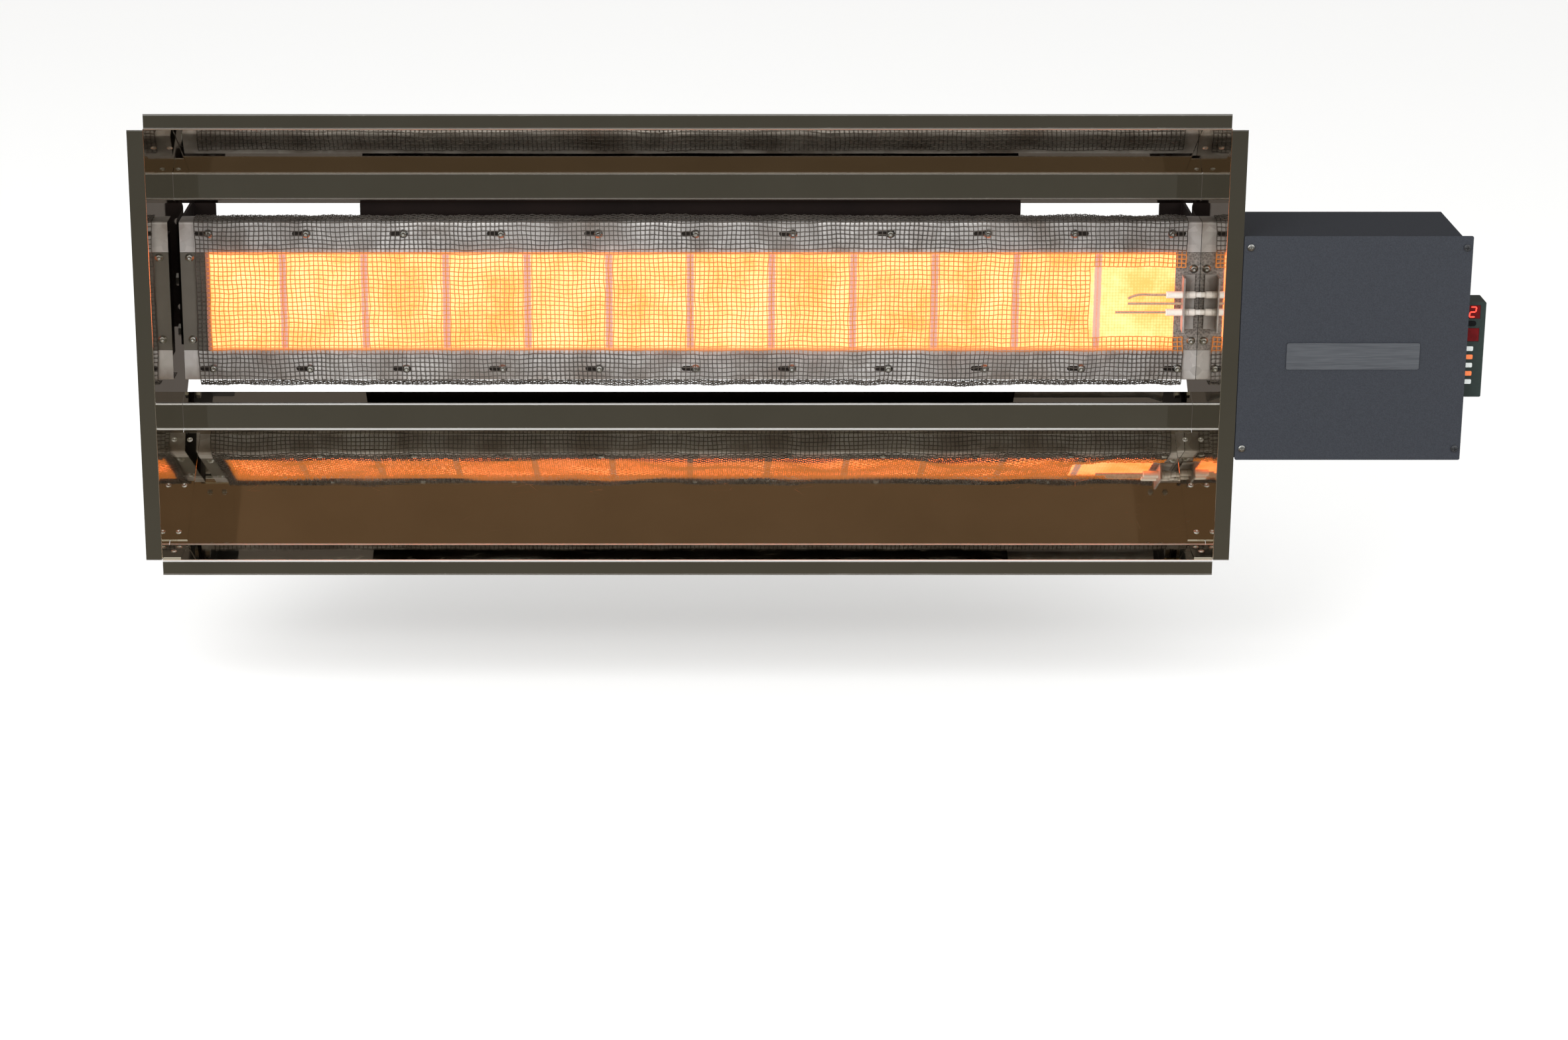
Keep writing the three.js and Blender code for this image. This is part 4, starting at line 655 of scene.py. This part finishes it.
# The first plaque's outer end stands against the end plate and stays cooler.
COOL_WIDTH = 0.0105
warm_again = add_node(
    tree,
    "ShaderNodeMapRange",
    {"interpolation_type": "SMOOTHSTEP"},
    {"Value": along_row, "From Min": COOL_WIDTH - 0.0015, "From Max": COOL_WIDTH + 0.0005},
).outputs["Result"]
cooled_glow = add_node(
    tree,
    "ShaderNodeMix",
    {"data_type": "RGBA"},
    {0: warm_again, 6: (0.034, 0.012, 0.01, 1.0), 7: edged_glow},
).outputs[2]
tree.links.new(cooled_glow, shader.inputs["Emission Color"])
shader.inputs["Emission Strength"].default_value = 6.0
dress(glowing_ceramic, *[f"ceramic_tile_{i:02d}" for i in range(1, 13)])

fibre_paper, tree, shader, place = new_finish("ceramic_fibre_paper", Roughness=0.95)
fibres = add_node(
    tree, "ShaderNodeTexNoise", None, {"Vector": place, "Scale": 900.0, "Detail": 3.0}
).outputs["Fac"]
fibre_tint_and_painted_glow = add_node(
    tree,
    "ShaderNodeMix",
    {"data_type": "RGBA"},
    {0: fibres, 6: linear("#a8563f"), 7: linear("#e2a08a")},
).outputs[2]
tree.links.new(fibre_tint_and_painted_glow, shader.inputs["Base Color"])
# The paper emits its own tint: a painted glow.
tree.links.new(fibre_tint_and_painted_glow, shader.inputs["Emission Color"])
shader.inputs["Emission Strength"].default_value = 0.8
dress(fibre_paper, "tile_gasket")


# ---------------------------------------------------------------- wire screen
# Woven heat-resisting wire, 1.2 mm thick on a 5.2 mm pitch. Each wire goes over one and
# under the next. The long edges are bent back over the rails, and it isn't quite flat.

screen_low, screen_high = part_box("mesh_screen")
rail_low, rail_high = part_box("burner_rail_top")
lower_rail_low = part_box("burner_rail_bottom")[0]
WIRE_PITCH = 0.0052
WIRE_RADIUS = 0.0006
FLAT_HALF = (rail_high.z - lower_rail_low.z) / 2 - 0.001
TURNED_BACK = 0.026
WINDOW_LEFT = rail_high.x - 0.125
WINDOW_HALF = 0.0375
screen_length = screen_high.x - screen_low.x
screen_wires_across = 2 * round(screen_length / WIRE_PITCH / 2) + 1
screen_wires_along = 2 * round((FLAT_HALF + TURNED_BACK) / WIRE_PITCH) + 1

woven_screen, given, result = new_tree(
    "woven_screen",
    ("Centre", "NodeSocketVector"),
    ("Length", "NodeSocketFloat"),
    ("Pitch", "NodeSocketFloat"),
    ("Wires across", "NodeSocketInt"),
    ("Wires along", "NodeSocketInt"),
    ("Wire radius", "NodeSocketFloat"),
    ("Flat half", "NodeSocketFloat"),
    ("Window left", "NodeSocketFloat"),
    ("Window half", "NodeSocketFloat"),
    ("Cross wires", "NodeSocketBool"),
    ("Finish", "NodeSocketMaterial"),
)


def number(operation, first, second=0.0, third=0.0):
    """One sum on fields in the screen's tree."""
    return add_node(
        woven_screen, "ShaderNodeMath", {"operation": operation}, {0: first, 1: second, 2: third}
    ).outputs[0]


screen_height = number("MULTIPLY", number("SUBTRACT", given["Wires along"], 1.0), given["Pitch"])
grid = add_node(
    woven_screen,
    "GeometryNodeMeshGrid",
    None,
    {
        "Size X": given["Length"],
        "Size Y": screen_height,
        "Vertices X": given["Wires across"],
        "Vertices Y": given["Wires along"],
    },
).outputs["Mesh"]
crossing = add_node(
    woven_screen,
    "ShaderNodeSeparateXYZ",
    None,
    {0: add_node(woven_screen, "GeometryNodeInputPosition").outputs[0]},
).outputs
across, up = crossing["X"], crossing["Y"]
in_window = number(
    "MULTIPLY",
    number("GREATER_THAN", across, given["Window left"]),
    number("LESS_THAN", number("ABSOLUTE", up), given["Window half"]),
)
windowed = add_node(
    woven_screen,
    "GeometryNodeDeleteGeometry",
    {"domain": "POINT", "mode": "ALL"},
    {"Geometry": grid, "Selection": in_window},
).outputs[0]
ends = add_node(woven_screen, "GeometryNodeInputMeshEdgeVertices").outputs
first_end = add_node(woven_screen, "ShaderNodeSeparateXYZ", None, {0: ends["Position 1"]}).outputs
second_end = add_node(woven_screen, "ShaderNodeSeparateXYZ", None, {0: ends["Position 2"]}).outputs
runs_along = number(
    "GREATER_THAN",
    number("ABSOLUTE", number("SUBTRACT", first_end["X"], second_end["X"])),
    number("MULTIPLY", given["Pitch"], 0.5),
)
other_way = number("COMPARE", runs_along, given["Cross wires"], 0.1)
one_way = add_node(
    woven_screen,
    "GeometryNodeDeleteGeometry",
    {"domain": "EDGE", "mode": "EDGE_FACE"},
    {"Geometry": windowed, "Selection": other_way},
).outputs[0]
# Over one wire and under the next, the other way round for the crossing wires.
from_left = number("ADD", across, number("MULTIPLY", given["Length"], 0.5))
column = number("ROUND", number("DIVIDE", from_left, given["Pitch"]))
from_bottom = number("ADD", up, number("MULTIPLY", screen_height, 0.5))
row = number("ROUND", number("DIVIDE", from_bottom, given["Pitch"]))
odd = number("FLOORED_MODULO", number("ADD", number("ADD", column, row), given["Cross wires"]), 2.0)
crimp = number("MULTIPLY", number("MULTIPLY_ADD", odd, 2.0, -1.0), given["Wire radius"])
ripple = add_node(
    woven_screen, "ShaderNodeTexNoise", None, {"Scale": 9.0, "Detail": 1.0}
).outputs["Fac"]
bulge = number("MULTIPLY", number("MAXIMUM", number("SUBTRACT", ripple, 0.45), 0.0), -0.016)
stray = add_node(
    woven_screen, "ShaderNodeTexNoise", None, {"Scale": 26.0, "Detail": 2.0}
).outputs["Color"]
stray_parts = add_node(woven_screen, "ShaderNodeSeparateXYZ", None, {0: stray}).outputs
stray_x = number("MULTIPLY", number("SUBTRACT", stray_parts["X"], 0.5), 0.006)
stray_z = number("MULTIPLY", number("SUBTRACT", stray_parts["Y"], 0.5), 0.006)
# Past the flat part the screen turns back over the rails, and hangs lower below them.
beyond = number("MAXIMUM", number("SUBTRACT", number("ABSOLUTE", up), given["Flat half"]), 0.0)
flat_up = number("MINIMUM", number("ABSOLUTE", up), given["Flat half"])
turned_share = number("MINIMUM", number("MULTIPLY", beyond, 110.0), 1.0)
easing = number("MULTIPLY", turned_share, number("SUBTRACT", 2.0, turned_share))
stand_off = number("MULTIPLY_ADD", number("SIGN", up), -0.0022, 0.0054)
raised = number("MULTIPLY_ADD", easing, stand_off, flat_up)
lifted = number("SUBTRACT", raised, number("MULTIPLY", crimp, turned_share))
turned_up = number("MULTIPLY", number("SIGN", up), lifted)
flat_crimp = number("MULTIPLY", crimp, number("SUBTRACT", 1.0, turned_share))
back = number("ADD", number("MULTIPLY_ADD", beyond, 0.92, flat_crimp), bulge)
shifted = add_node(
    woven_screen,
    "ShaderNodeCombineXYZ",
    None,
    {0: number("ADD", across, stray_x), 1: back, 2: number("ADD", turned_up, stray_z)},
).outputs[0]
in_place = add_node(
    woven_screen,
    "ShaderNodeVectorMath",
    {"operation": "ADD"},
    {0: shifted, 1: given["Centre"]},
).outputs[0]
shaped = add_node(
    woven_screen, "GeometryNodeSetPosition", None, {"Geometry": one_way, "Position": in_place}
).outputs[0]
wires = add_node(woven_screen, "GeometryNodeMeshToCurve", None, {"Mesh": shaped}).outputs[0]
wire_section = add_node(
    woven_screen,
    "GeometryNodeCurvePrimitiveCircle",
    {"mode": "RADIUS"},
    {"Resolution": 5, "Radius": given["Wire radius"]},
).outputs[0]
round_wires = add_node(
    woven_screen,
    "GeometryNodeCurveToMesh",
    None,
    {"Curve": wires, "Profile Curve": wire_section, "Fill Caps": True},
).outputs[0]
realised = add_node(
    woven_screen, "GeometryNodeRealizeInstances", None, {"Geometry": round_wires}
).outputs[0]
finished = add_node(
    woven_screen, "GeometryNodeSetMaterial", None, {"Geometry": realised, "Material": given["Finish"]}
).outputs[0]
woven_screen.links.new(finished, result["Geometry"])

screen_wire, tree, shader, place = new_finish("heat_resisting_wire", Metallic=0.55, Roughness=0.35)
parts = add_node(tree, "ShaderNodeSeparateXYZ", None, {0: place}).outputs
stains = add_node(
    tree, "ShaderNodeTexNoise", None, {"Vector": place, "Scale": 22.0, "Detail": 3.0}
).outputs["Fac"]
wire_tint = add_node(
    tree,
    "ShaderNodeMix",
    {"data_type": "RGBA"},
    {0: stains, 6: linear("#38332f"), 7: linear("#7a736c")},
).outputs[2]
tree.links.new(wire_tint, shader.inputs["Base Color"])
# In front of the plaques the wire is red hot.
off_middle = add_node(
    tree, "ShaderNodeMath", {"operation": "SUBTRACT"}, {0: parts["Z"], 1: burner_z}
).outputs[0]
off_middle = add_node(tree, "ShaderNodeMath", {"operation": "ABSOLUTE"}, {0: off_middle}).outputs[0]
hot_level = add_node(
    tree,
    "ShaderNodeMapRange",
    {"interpolation_type": "SMOOTHSTEP"},
    {"Value": off_middle, "From Min": 0.054, "From Max": 0.063, "To Min": 1.0, "To Max": 0.0},
).outputs["Result"]
left_plate_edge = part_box("burner_end_left")[1].x
past_end_plate = add_node(
    tree,
    "ShaderNodeMapRange",
    {"interpolation_type": "SMOOTHSTEP"},
    {"Value": parts["X"], "From Min": left_plate_edge, "From Max": left_plate_edge + 0.004},
).outputs["Result"]
hot_level = add_node(
    tree, "ShaderNodeMath", {"operation": "MULTIPLY"}, {0: hot_level, 1: past_end_plate}
).outputs[0]
hot = add_node(
    tree,
    "ShaderNodeMix",
    {"data_type": "RGBA"},
    {0: hot_level, 6: (0.0, 0.0, 0.0, 1.0), 7: (0.7, 0.2, 0.015, 1.0)},
).outputs[2]
tree.links.new(hot, shader.inputs["Emission Color"])
shader.inputs["Emission Strength"].default_value = 0.95

screen_centre = Vector(((screen_low.x + screen_high.x) / 2, rail_low.y - 0.0003 - 2 * WIRE_RADIUS, burner_z))
for name, crossing_wires in (("screen_long_wires", False), ("screen_cross_wires", True)):
    wires_piece = made_by(
        woven_screen,
        name,
        Centre=screen_centre,
        Length=(screen_wires_across - 1) * WIRE_PITCH,
        Pitch=WIRE_PITCH,
        Wires_across=screen_wires_across,
        Wires_along=screen_wires_along,
        Wire_radius=WIRE_RADIUS,
        Flat_half=FLAT_HALF,
        Window_left=WINDOW_LEFT - screen_centre.x,
        Window_half=WINDOW_HALF,
        Cross_wires=crossing_wires,
        Finish=screen_wire,
    )
    wires_piece.data.shade_smooth()
    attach(wires_piece, "heater")
    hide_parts("mesh_screen")

# Pan-head screws with washers clamp the screen through the rails' slots.
pan_head = turned(
    "pan_head",
    [
        (0, -0.0008),
        (0.005, -0.0008),
        (0.005, 0),
        (0.0036, 0.0001),
        (0.0036, 0.0012),
        (0.0029, 0.0021),
        (0.0014, 0.0024),
        (0.001, 0.0012),
        (0, 0.0011),
    ],
    14,
)
zinc_screw, tree, shader, place = new_finish(
    "zinc_plated_screw", Metallic=1.0, Roughness=0.28, Base_Color=linear("#c4c4c2")
)
passivation = add_node(
    tree, "ShaderNodeTexNoise", None, {"Vector": place, "Scale": 350.0, "Detail": 2.0}
).outputs["Fac"]
zinc_tint = add_node(
    tree,
    "ShaderNodeMix",
    {"data_type": "RGBA"},
    {0: passivation, 6: linear("#a9aaa8"), 7: linear("#dcdcd6")},
).outputs[2]
tree.links.new(zinc_tint, shader.inputs["Base Color"])

SLOT_COUNT = 11
SLOT_ROW_END = 0.0275
slot_pitch = (rail_high.x - rail_low.x - 2 * SLOT_ROW_END) / (SLOT_COUNT - 1)
first_slot = rail_low.x + SLOT_ROW_END
slot_z = (rail_high.z - burner_z + 0.066) / 2
screw_y = rail_low.y - 0.0012
forward = Vector((0, -1, 0))
screw_rows = [
    (
        Vector((first_slot + 0.006, screw_y, burner_z + slot_z)),
        Vector((first_slot + 8 * slot_pitch + 0.006, screw_y, burner_z + slot_z)),
        9,
        forward,
    ),
    (
        Vector((first_slot + 9 * slot_pitch - 0.006, screw_y, burner_z + slot_z)),
        Vector((first_slot + 10 * slot_pitch - 0.006, screw_y, burner_z + slot_z)),
        2,
        forward,
    ),
    (
        Vector((first_slot + 0.006, screw_y, burner_z - slot_z)),
        Vector((first_slot + 10 * slot_pitch + 0.006, screw_y, burner_z - slot_z)),
        11,
        forward,
    ),
]
fastener_rows("screen_screws", pan_head, zinc_screw, screw_rows, "heater")

end_plate_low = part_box("burner_end_right")[0]
left_screw_x = rail_low.x + 0.0108
right_screw_x = rail_high.x - 0.0072
end_screw_rows = [
    (
        Vector((x, end_plate_low.y - 0.0003, burner_z + high)),
        Vector((x, end_plate_low.y - 0.0003, burner_z + low)),
        2,
        forward,
    )
    for x, high, low in ((left_screw_x, 0.0517, -0.0451), (right_screw_x, 0.0384, -0.0467))
]
fastener_rows("burner_end_screws", pan_head, zinc_screw, end_screw_rows, "heater")


# ---------------------------------------------------------------- electrodes and their leads
# Two white alumina insulators carry resistance-alloy rods that glow at their tips; the whole rods are also
# given a painted glow in their own colour.
# White silicone boots and silicone-sleeved leads run from them to the control box.

alumina, tree, shader, place = new_finish("dense_alumina", Roughness=0.3)
firing = add_node(tree, "ShaderNodeTexNoise", None, {"Vector": place, "Scale": 240.0}).outputs["Fac"]
alumina_tint = add_node(
    tree,
    "ShaderNodeMix",
    {"data_type": "RGBA"},
    {0: firing, 6: linear("#e2dccf"), 7: linear("#faf6ee")},
).outputs[2]
tree.links.new(alumina_tint, shader.inputs["Base Color"])
dress(alumina, "spark_insulator", "sensor_insulator")

resistance_alloy, tree, shader, place = new_finish("oxidised_resistance_alloy", Metallic=0.6, Roughness=0.4)
scale_noise = add_node(tree, "ShaderNodeTexNoise", None, {"Vector": place, "Scale": 500.0}).outputs["Fac"]
alloy_tint_and_painted_glow = add_node(
    tree,
    "ShaderNodeMix",
    {"data_type": "RGBA"},
    {0: scale_noise, 6: linear("#5a4636"), 7: linear("#94806c")},
).outputs[2]
tree.links.new(alloy_tint_and_painted_glow, shader.inputs["Base Color"])
# The whole rod emits its own colour: painted glow, beyond the real glow at the tips.
tree.links.new(alloy_tint_and_painted_glow, shader.inputs["Emission Color"])
shader.inputs["Emission Strength"].default_value = 1.6
dress(resistance_alloy, "spark_electrode", "flame_sensor_rod", "earth_rod")

silicone, tree, shader, place = new_finish("white_silicone_sleeve", Roughness=0.45)
dust = add_node(
    tree, "ShaderNodeTexNoise", None, {"Vector": place, "Scale": 120.0, "Detail": 3.0}
).outputs["Fac"]
silicone_tint = add_node(
    tree,
    "ShaderNodeMix",
    {"data_type": "RGBA"},
    {0: dust, 6: linear("#ddd6cc"), 7: linear("#f3eee8")},
).outputs[2]
tree.links.new(silicone_tint, shader.inputs["Base Color"])
dress(silicone, "spark_boot", "sensor_boot", "spark_lead", "sensor_lead")


# ---------------------------------------------------------------- chamber and brackets
# Folded steel with black powder coat. Heat has turned the chamber's coat
# brownish in patches.

black_coat, tree, shader, place = new_finish("black_powder_coat", Roughness=0.6, Specular_IOR_Level=0.25)
fading = add_node(
    tree, "ShaderNodeTexNoise", None, {"Vector": place, "Scale": 16.0, "Detail": 5.0}
).outputs["Fac"]
black_tint = add_node(
    tree,
    "ShaderNodeMix",
    {"data_type": "RGBA"},
    {0: fading, 6: linear("#0d0807"), 7: linear("#1f1512")},
).outputs[2]
tree.links.new(black_tint, shader.inputs["Base Color"])
peel = add_node(tree, "ShaderNodeTexNoise", None, {"Vector": place, "Scale": 420.0}).outputs["Fac"]
peel_bump = add_node(
    tree, "ShaderNodeBump", None, {"Strength": 0.3, "Distance": 0.0003, "Height": peel}
).outputs["Normal"]
tree.links.new(peel_bump, shader.inputs["Normal"])
dress(black_coat, "mixing_chamber", "bracket_left", "bracket_right")


# ---------------------------------------------------------------- control box
# Folded 1.2 mm steel with a fine-textured anthracite powder coat, closed by a flat
# cover on four cross-head screws.

anthracite_coat, tree, shader, place = new_finish(
    "textured_anthracite_powder_coat", Roughness=0.62, Specular_IOR_Level=0.22
)
# The texture's grains are about 0.7 mm wide: drawn 1.4 mm wide to show.
texture_grain = add_node(
    tree, "ShaderNodeTexNoise", None, {"Vector": place, "Scale": 700.0, "Detail": 2.0}
).outputs["Fac"]
coat_tint = add_node(
    tree,
    "ShaderNodeMix",
    {"data_type": "RGBA"},
    {0: texture_grain, 6: linear("#23252a"), 7: linear("#33363c")},
).outputs[2]
tree.links.new(coat_tint, shader.inputs["Base Color"])
coat_bump = add_node(
    tree, "ShaderNodeBump", None, {"Strength": 0.35, "Distance": 0.0005, "Height": texture_grain}
).outputs["Normal"]
tree.links.new(coat_bump, shader.inputs["Normal"])
dress(anthracite_coat, "control_box_body", "control_box_cover")

dress(zinc_screw, "cover_screw_1", "cover_screw_3")
blackened_screw, tree, shader, place = new_finish("blackened_steel_screw", Metallic=0.6, Roughness=0.35)
oxide = add_node(tree, "ShaderNodeTexNoise", None, {"Vector": place, "Scale": 400.0}).outputs["Fac"]
oxide_tint = add_node(
    tree,
    "ShaderNodeMix",
    {"data_type": "RGBA"},
    {0: oxide, 6: linear("#2b2c2e"), 7: linear("#55575a")},
).outputs[2]
tree.links.new(oxide_tint, shader.inputs["Base Color"])
dress(blackened_screw, "cover_screw_2", "cover_screw_4")
dress(zinc_screw, "pivot_bolt_left", "pivot_bolt_right", "lock_bolt_left", "lock_bolt_right")
dress(zinc_screw, "valve_plunger")

badge_finish, tree, shader, place = new_finish("brushed_aluminium_badge", Metallic=0.7, Roughness=0.38)
# Brush lines run along the badge, about 0.3 mm apart: drawn 1 mm apart to show.
along_badge = add_node(
    tree, "ShaderNodeMapping", None, {"Vector": place, "Scale": (30.0, 1000.0, 1000.0)}
).outputs["Vector"]
brushing = add_node(tree, "ShaderNodeTexNoise", None, {"Vector": along_badge, "Scale": 1.0}).outputs["Fac"]
badge_tint = add_node(
    tree,
    "ShaderNodeMix",
    {"data_type": "RGBA"},
    {0: brushing, 6: linear("#4e5258"), 7: linear("#7c8086")},
).outputs[2]
tree.links.new(badge_tint, shader.inputs["Base Color"])
dress(badge_finish, "badge_plate")


# ---------------------------------------------------------------- display module
# A moulded case with two tinted windows, an infrared eye between them and a column
# of printed marks. The upper window shows one red figure.

display_case, tree, shader, place = new_finish("smooth_moulded_abs", Roughness=0.32)
moulding = add_node(tree, "ShaderNodeTexNoise", None, {"Vector": place, "Scale": 300.0}).outputs["Fac"]
case_tint = add_node(
    tree,
    "ShaderNodeMix",
    {"data_type": "RGBA"},
    {0: moulding, 6: linear("#1e2826"), 7: linear("#283230")},
).outputs[2]
tree.links.new(case_tint, shader.inputs["Base Color"])
dress(display_case, "display_housing")

# Both windows emit their own tint faintly: a painted glow.
red_window, tree, shader, place = new_finish("red_acrylic_window", Roughness=0.12, Emission_Strength=0.25)
depth_tint = add_node(tree, "ShaderNodeTexNoise", None, {"Vector": place, "Scale": 160.0}).outputs["Fac"]
window_tint_and_painted_glow = add_node(
    tree,
    "ShaderNodeMix",
    {"data_type": "RGBA"},
    {0: depth_tint, 6: linear("#3c0a0c"), 7: linear("#5e1014")},
).outputs[2]
tree.links.new(window_tint_and_painted_glow, shader.inputs["Base Color"])
tree.links.new(window_tint_and_painted_glow, shader.inputs["Emission Color"])
dress(red_window, "display_window_upper", "display_window_lower")


def plates(name, outlines, front, thickness):
    """Thin flat plates facing forward, one for each outline of (x, z) points, as one mesh."""
    points = []
    faces = []
    for outline in outlines:
        start = len(points)
        count = len(outline)
        points += [(x, front, z) for x, z in outline]
        points += [(x, front + thickness, z) for x, z in outline]
        faces.append(tuple(start + i for i in range(count)))
        faces.append(tuple(start + count + i for i in reversed(range(count))))
        for i in range(count):
            j = (i + 1) % count
            faces.append((start + j, start + i, start + count + i, start + count + j))
    mesh = bpy.data.meshes.new(name)
    mesh.from_pydata(points, [], faces)
    piece = bpy.data.objects.new(name, mesh)
    scene.collection.objects.link(piece)
    return piece


def rounded_outline(x, z, width, height, radius, steps=5):
    """A rounded rectangle about (x, z), run so that it faces forward."""
    outline = []
    for side_x, side_z, start in ((1, 1, 0), (-1, 1, 90), (-1, -1, 180), (1, -1, 270)):
        middle_x = x + side_x * (width / 2 - radius)
        middle_z = z + side_z * (height / 2 - radius)
        for i in range(steps + 1):
            angle = math.radians(start + 90 * i / steps)
            outline.append((middle_x + radius * math.cos(angle), middle_z + radius * math.sin(angle)))
    return outline


window_low, window_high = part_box("display_window_upper")
display_low, display_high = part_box("display_housing")
figure_x = (window_low.x + window_high.x) / 2 + 0.0015
figure_z = (window_low.z + window_high.z) / 2
FIGURE_WIDTH = 0.0062
FIGURE_HEIGHT = 0.0112
BAR = 0.0014
BAR_SLANT = 0.12


def figure_bar(x, z, length, upright):
    """One bar of the figure, as a long hexagon that leans a little."""
    half, tip = length / 2, BAR / 2
    upper_edge = [(half, 0), (half - tip, tip), (tip - half, tip)]
    shape = upper_edge + [(-half, 0), (tip - half, -tip), (half - tip, -tip)]
    if upright:
        shape = [(-b, a) for a, b in shape]
    return [(figure_x + x + a + BAR_SLANT * (z + b), figure_z + z + b) for a, b in shape]


half_high, half_wide = FIGURE_HEIGHT / 2, FIGURE_WIDTH / 2
bar_long = FIGURE_HEIGHT / 2 - 0.0002
bar_wide = FIGURE_WIDTH - 0.0002
figure_bars = [
    figure_bar(0, half_high, bar_wide, False),
    figure_bar(half_wide, half_high / 2, bar_long, True),
    figure_bar(0, 0, bar_wide, False),
    figure_bar(-half_wide, -half_high / 2, bar_long, True),
    figure_bar(0, -half_high, bar_wide, False),
]
figure = plates("display_figure", figure_bars, window_low.y - 0.0002, 0.0002)
lit_bar, tree, shader, place = new_finish("lit_display_bar", Roughness=0.4, Emission_Strength=2.2)
unevenness = add_node(tree, "ShaderNodeTexNoise", None, {"Vector": place, "Scale": 700.0}).outputs["Fac"]
lit_tint = add_node(
    tree,
    "ShaderNodeMix",
    {"data_type": "RGBA"},
    {0: unevenness, 6: linear("#e01810"), 7: linear("#ff4a38")},
).outputs[2]
tree.links.new(lit_tint, shader.inputs["Base Color"])
tree.links.new(lit_tint, shader.inputs["Emission Color"])
figure.data.materials.append(lit_bar)
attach(figure, "heater")

lower_window_low, lower_window_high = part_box("display_window_lower")
display_x = (display_low.x + display_high.x) / 2
eye_z = (window_low.z + lower_window_high.z) / 2
EYE_DEPTH = 0.0006
eye = plates(
    "infrared_eye",
    [rounded_outline(display_x, eye_z, 0.0115, 0.0062, 0.003, 8)],
    display_low.y - EYE_DEPTH,
    EYE_DEPTH,
)
dark_acrylic, tree, shader, place = new_finish("dark_acrylic_eye", Roughness=0.08)
haze = add_node(tree, "ShaderNodeTexNoise", None, {"Vector": place, "Scale": 400.0}).outputs["Fac"]
eye_tint = add_node(
    tree, "ShaderNodeMix", {"data_type": "RGBA"}, {0: haze, 6: linear("#08090a"), 7: linear("#16181a")}
).outputs[2]
tree.links.new(eye_tint, shader.inputs["Base Color"])
eye.data.materials.append(dark_acrylic)
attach(eye, "heater")

MARK_PITCH = 0.0094
marks_top = lower_window_low.z - 0.0085
for name, turns, colours in (
    ("grey_marks", (0, 2, 4), ("#b4bab8", "#cdd2d0")),
    ("orange_marks", (1, 3), ("#d8642c", "#ee8448")),
):
    outlines = [
        rounded_outline(display_x, marks_top - MARK_PITCH * turn, 0.0085, 0.0052, 0.0012) for turn in turns
    ]
    marks = plates(name, outlines, display_low.y - 0.00015, 0.00015)
    print_finish, tree, shader, place = new_finish(f"printed_{name}", Roughness=0.5)
    coverage = add_node(tree, "ShaderNodeTexNoise", None, {"Vector": place, "Scale": 900.0}).outputs["Fac"]
    print_tint = add_node(
        tree,
        "ShaderNodeMix",
        {"data_type": "RGBA"},
        {0: coverage, 6: linear(colours[0]), 7: linear(colours[1])},
    ).outputs[2]
    tree.links.new(print_tint, shader.inputs["Base Color"])
    marks.data.materials.append(print_finish)
    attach(marks, "heater")


# ---------------------------------------------------------------- gas and electrical fittings
# What is inside the box and behind it: turned brass, drawn copper, a die-cast valve
# with its resin coil, and moulded plastic.


def plain_finish(name, dark, light, scale, bump=0.0, **shader_values):
    """A finish whose colour varies between two tones over grains of a real size."""
    finish, tree, shader, place = new_finish(name, **shader_values)
    grain = add_node(
        tree, "ShaderNodeTexNoise", None, {"Vector": place, "Scale": scale, "Detail": 3.0}
    ).outputs["Fac"]
    tone = add_node(
        tree, "ShaderNodeMix", {"data_type": "RGBA"}, {0: grain, 6: linear(dark), 7: linear(light)}
    ).outputs[2]
    tree.links.new(tone, shader.inputs["Base Color"])
    if bump:
        raised = add_node(
            tree, "ShaderNodeBump", None, {"Strength": bump, "Distance": 0.0004, "Height": grain}
        ).outputs["Normal"]
        tree.links.new(raised, shader.inputs["Normal"])
    return finish


FITTINGS = (
    (("heat_blackened_sheet", "#1f1a17", "#37302b", 40.0, 0.2), (0.4, 0.55), ("burner_casing",)),
    (("heat_browned_sheet", "#625e57", "#7b766c", 30.0), (0.4, 0.45), ("burner_end_left",)),
    (("turned_brass", "#a8843c", "#d0ab5c", 260.0), (1.0, 0.32), ("gas_injector", "gas_inlet")),
    (("drawn_copper_pipe", "#9c5b3e", "#c98661", 60.0), (1.0, 0.3), ("gas_pipe",)),
    (("die_cast_aluminium", "#8f9193", "#b4b6b8", 500.0, 0.4), (1.0, 0.5), ("gas_valve_body",)),
    (("coil_encapsulating_resin", "#15171a", "#26292c", 200.0), (0.0, 0.3), ("valve_coil",)),
    (
        ("moulded_polyamide_black", "#222426", "#313437", 500.0, 0.2),
        (0.0, 0.5),
        ("ignition_controller", "cable_gland"),
    ),
    (("moulded_polyamide_cream", "#cfcab9", "#e0dccd", 400.0, 0.1), (0.0, 0.5), ("terminal_block",)),
)
for tones, (metallic, roughness), names in FITTINGS:
    dress(plain_finish(*tones, Metallic=metallic, Roughness=roughness), *names)


# ---------------------------------------------------------------- loose patterns
# The loose patterns of the fasteners are removed.

for shape in (rivet_head, rivet_bulb, pan_head):
    bpy.data.objects.remove(shape)
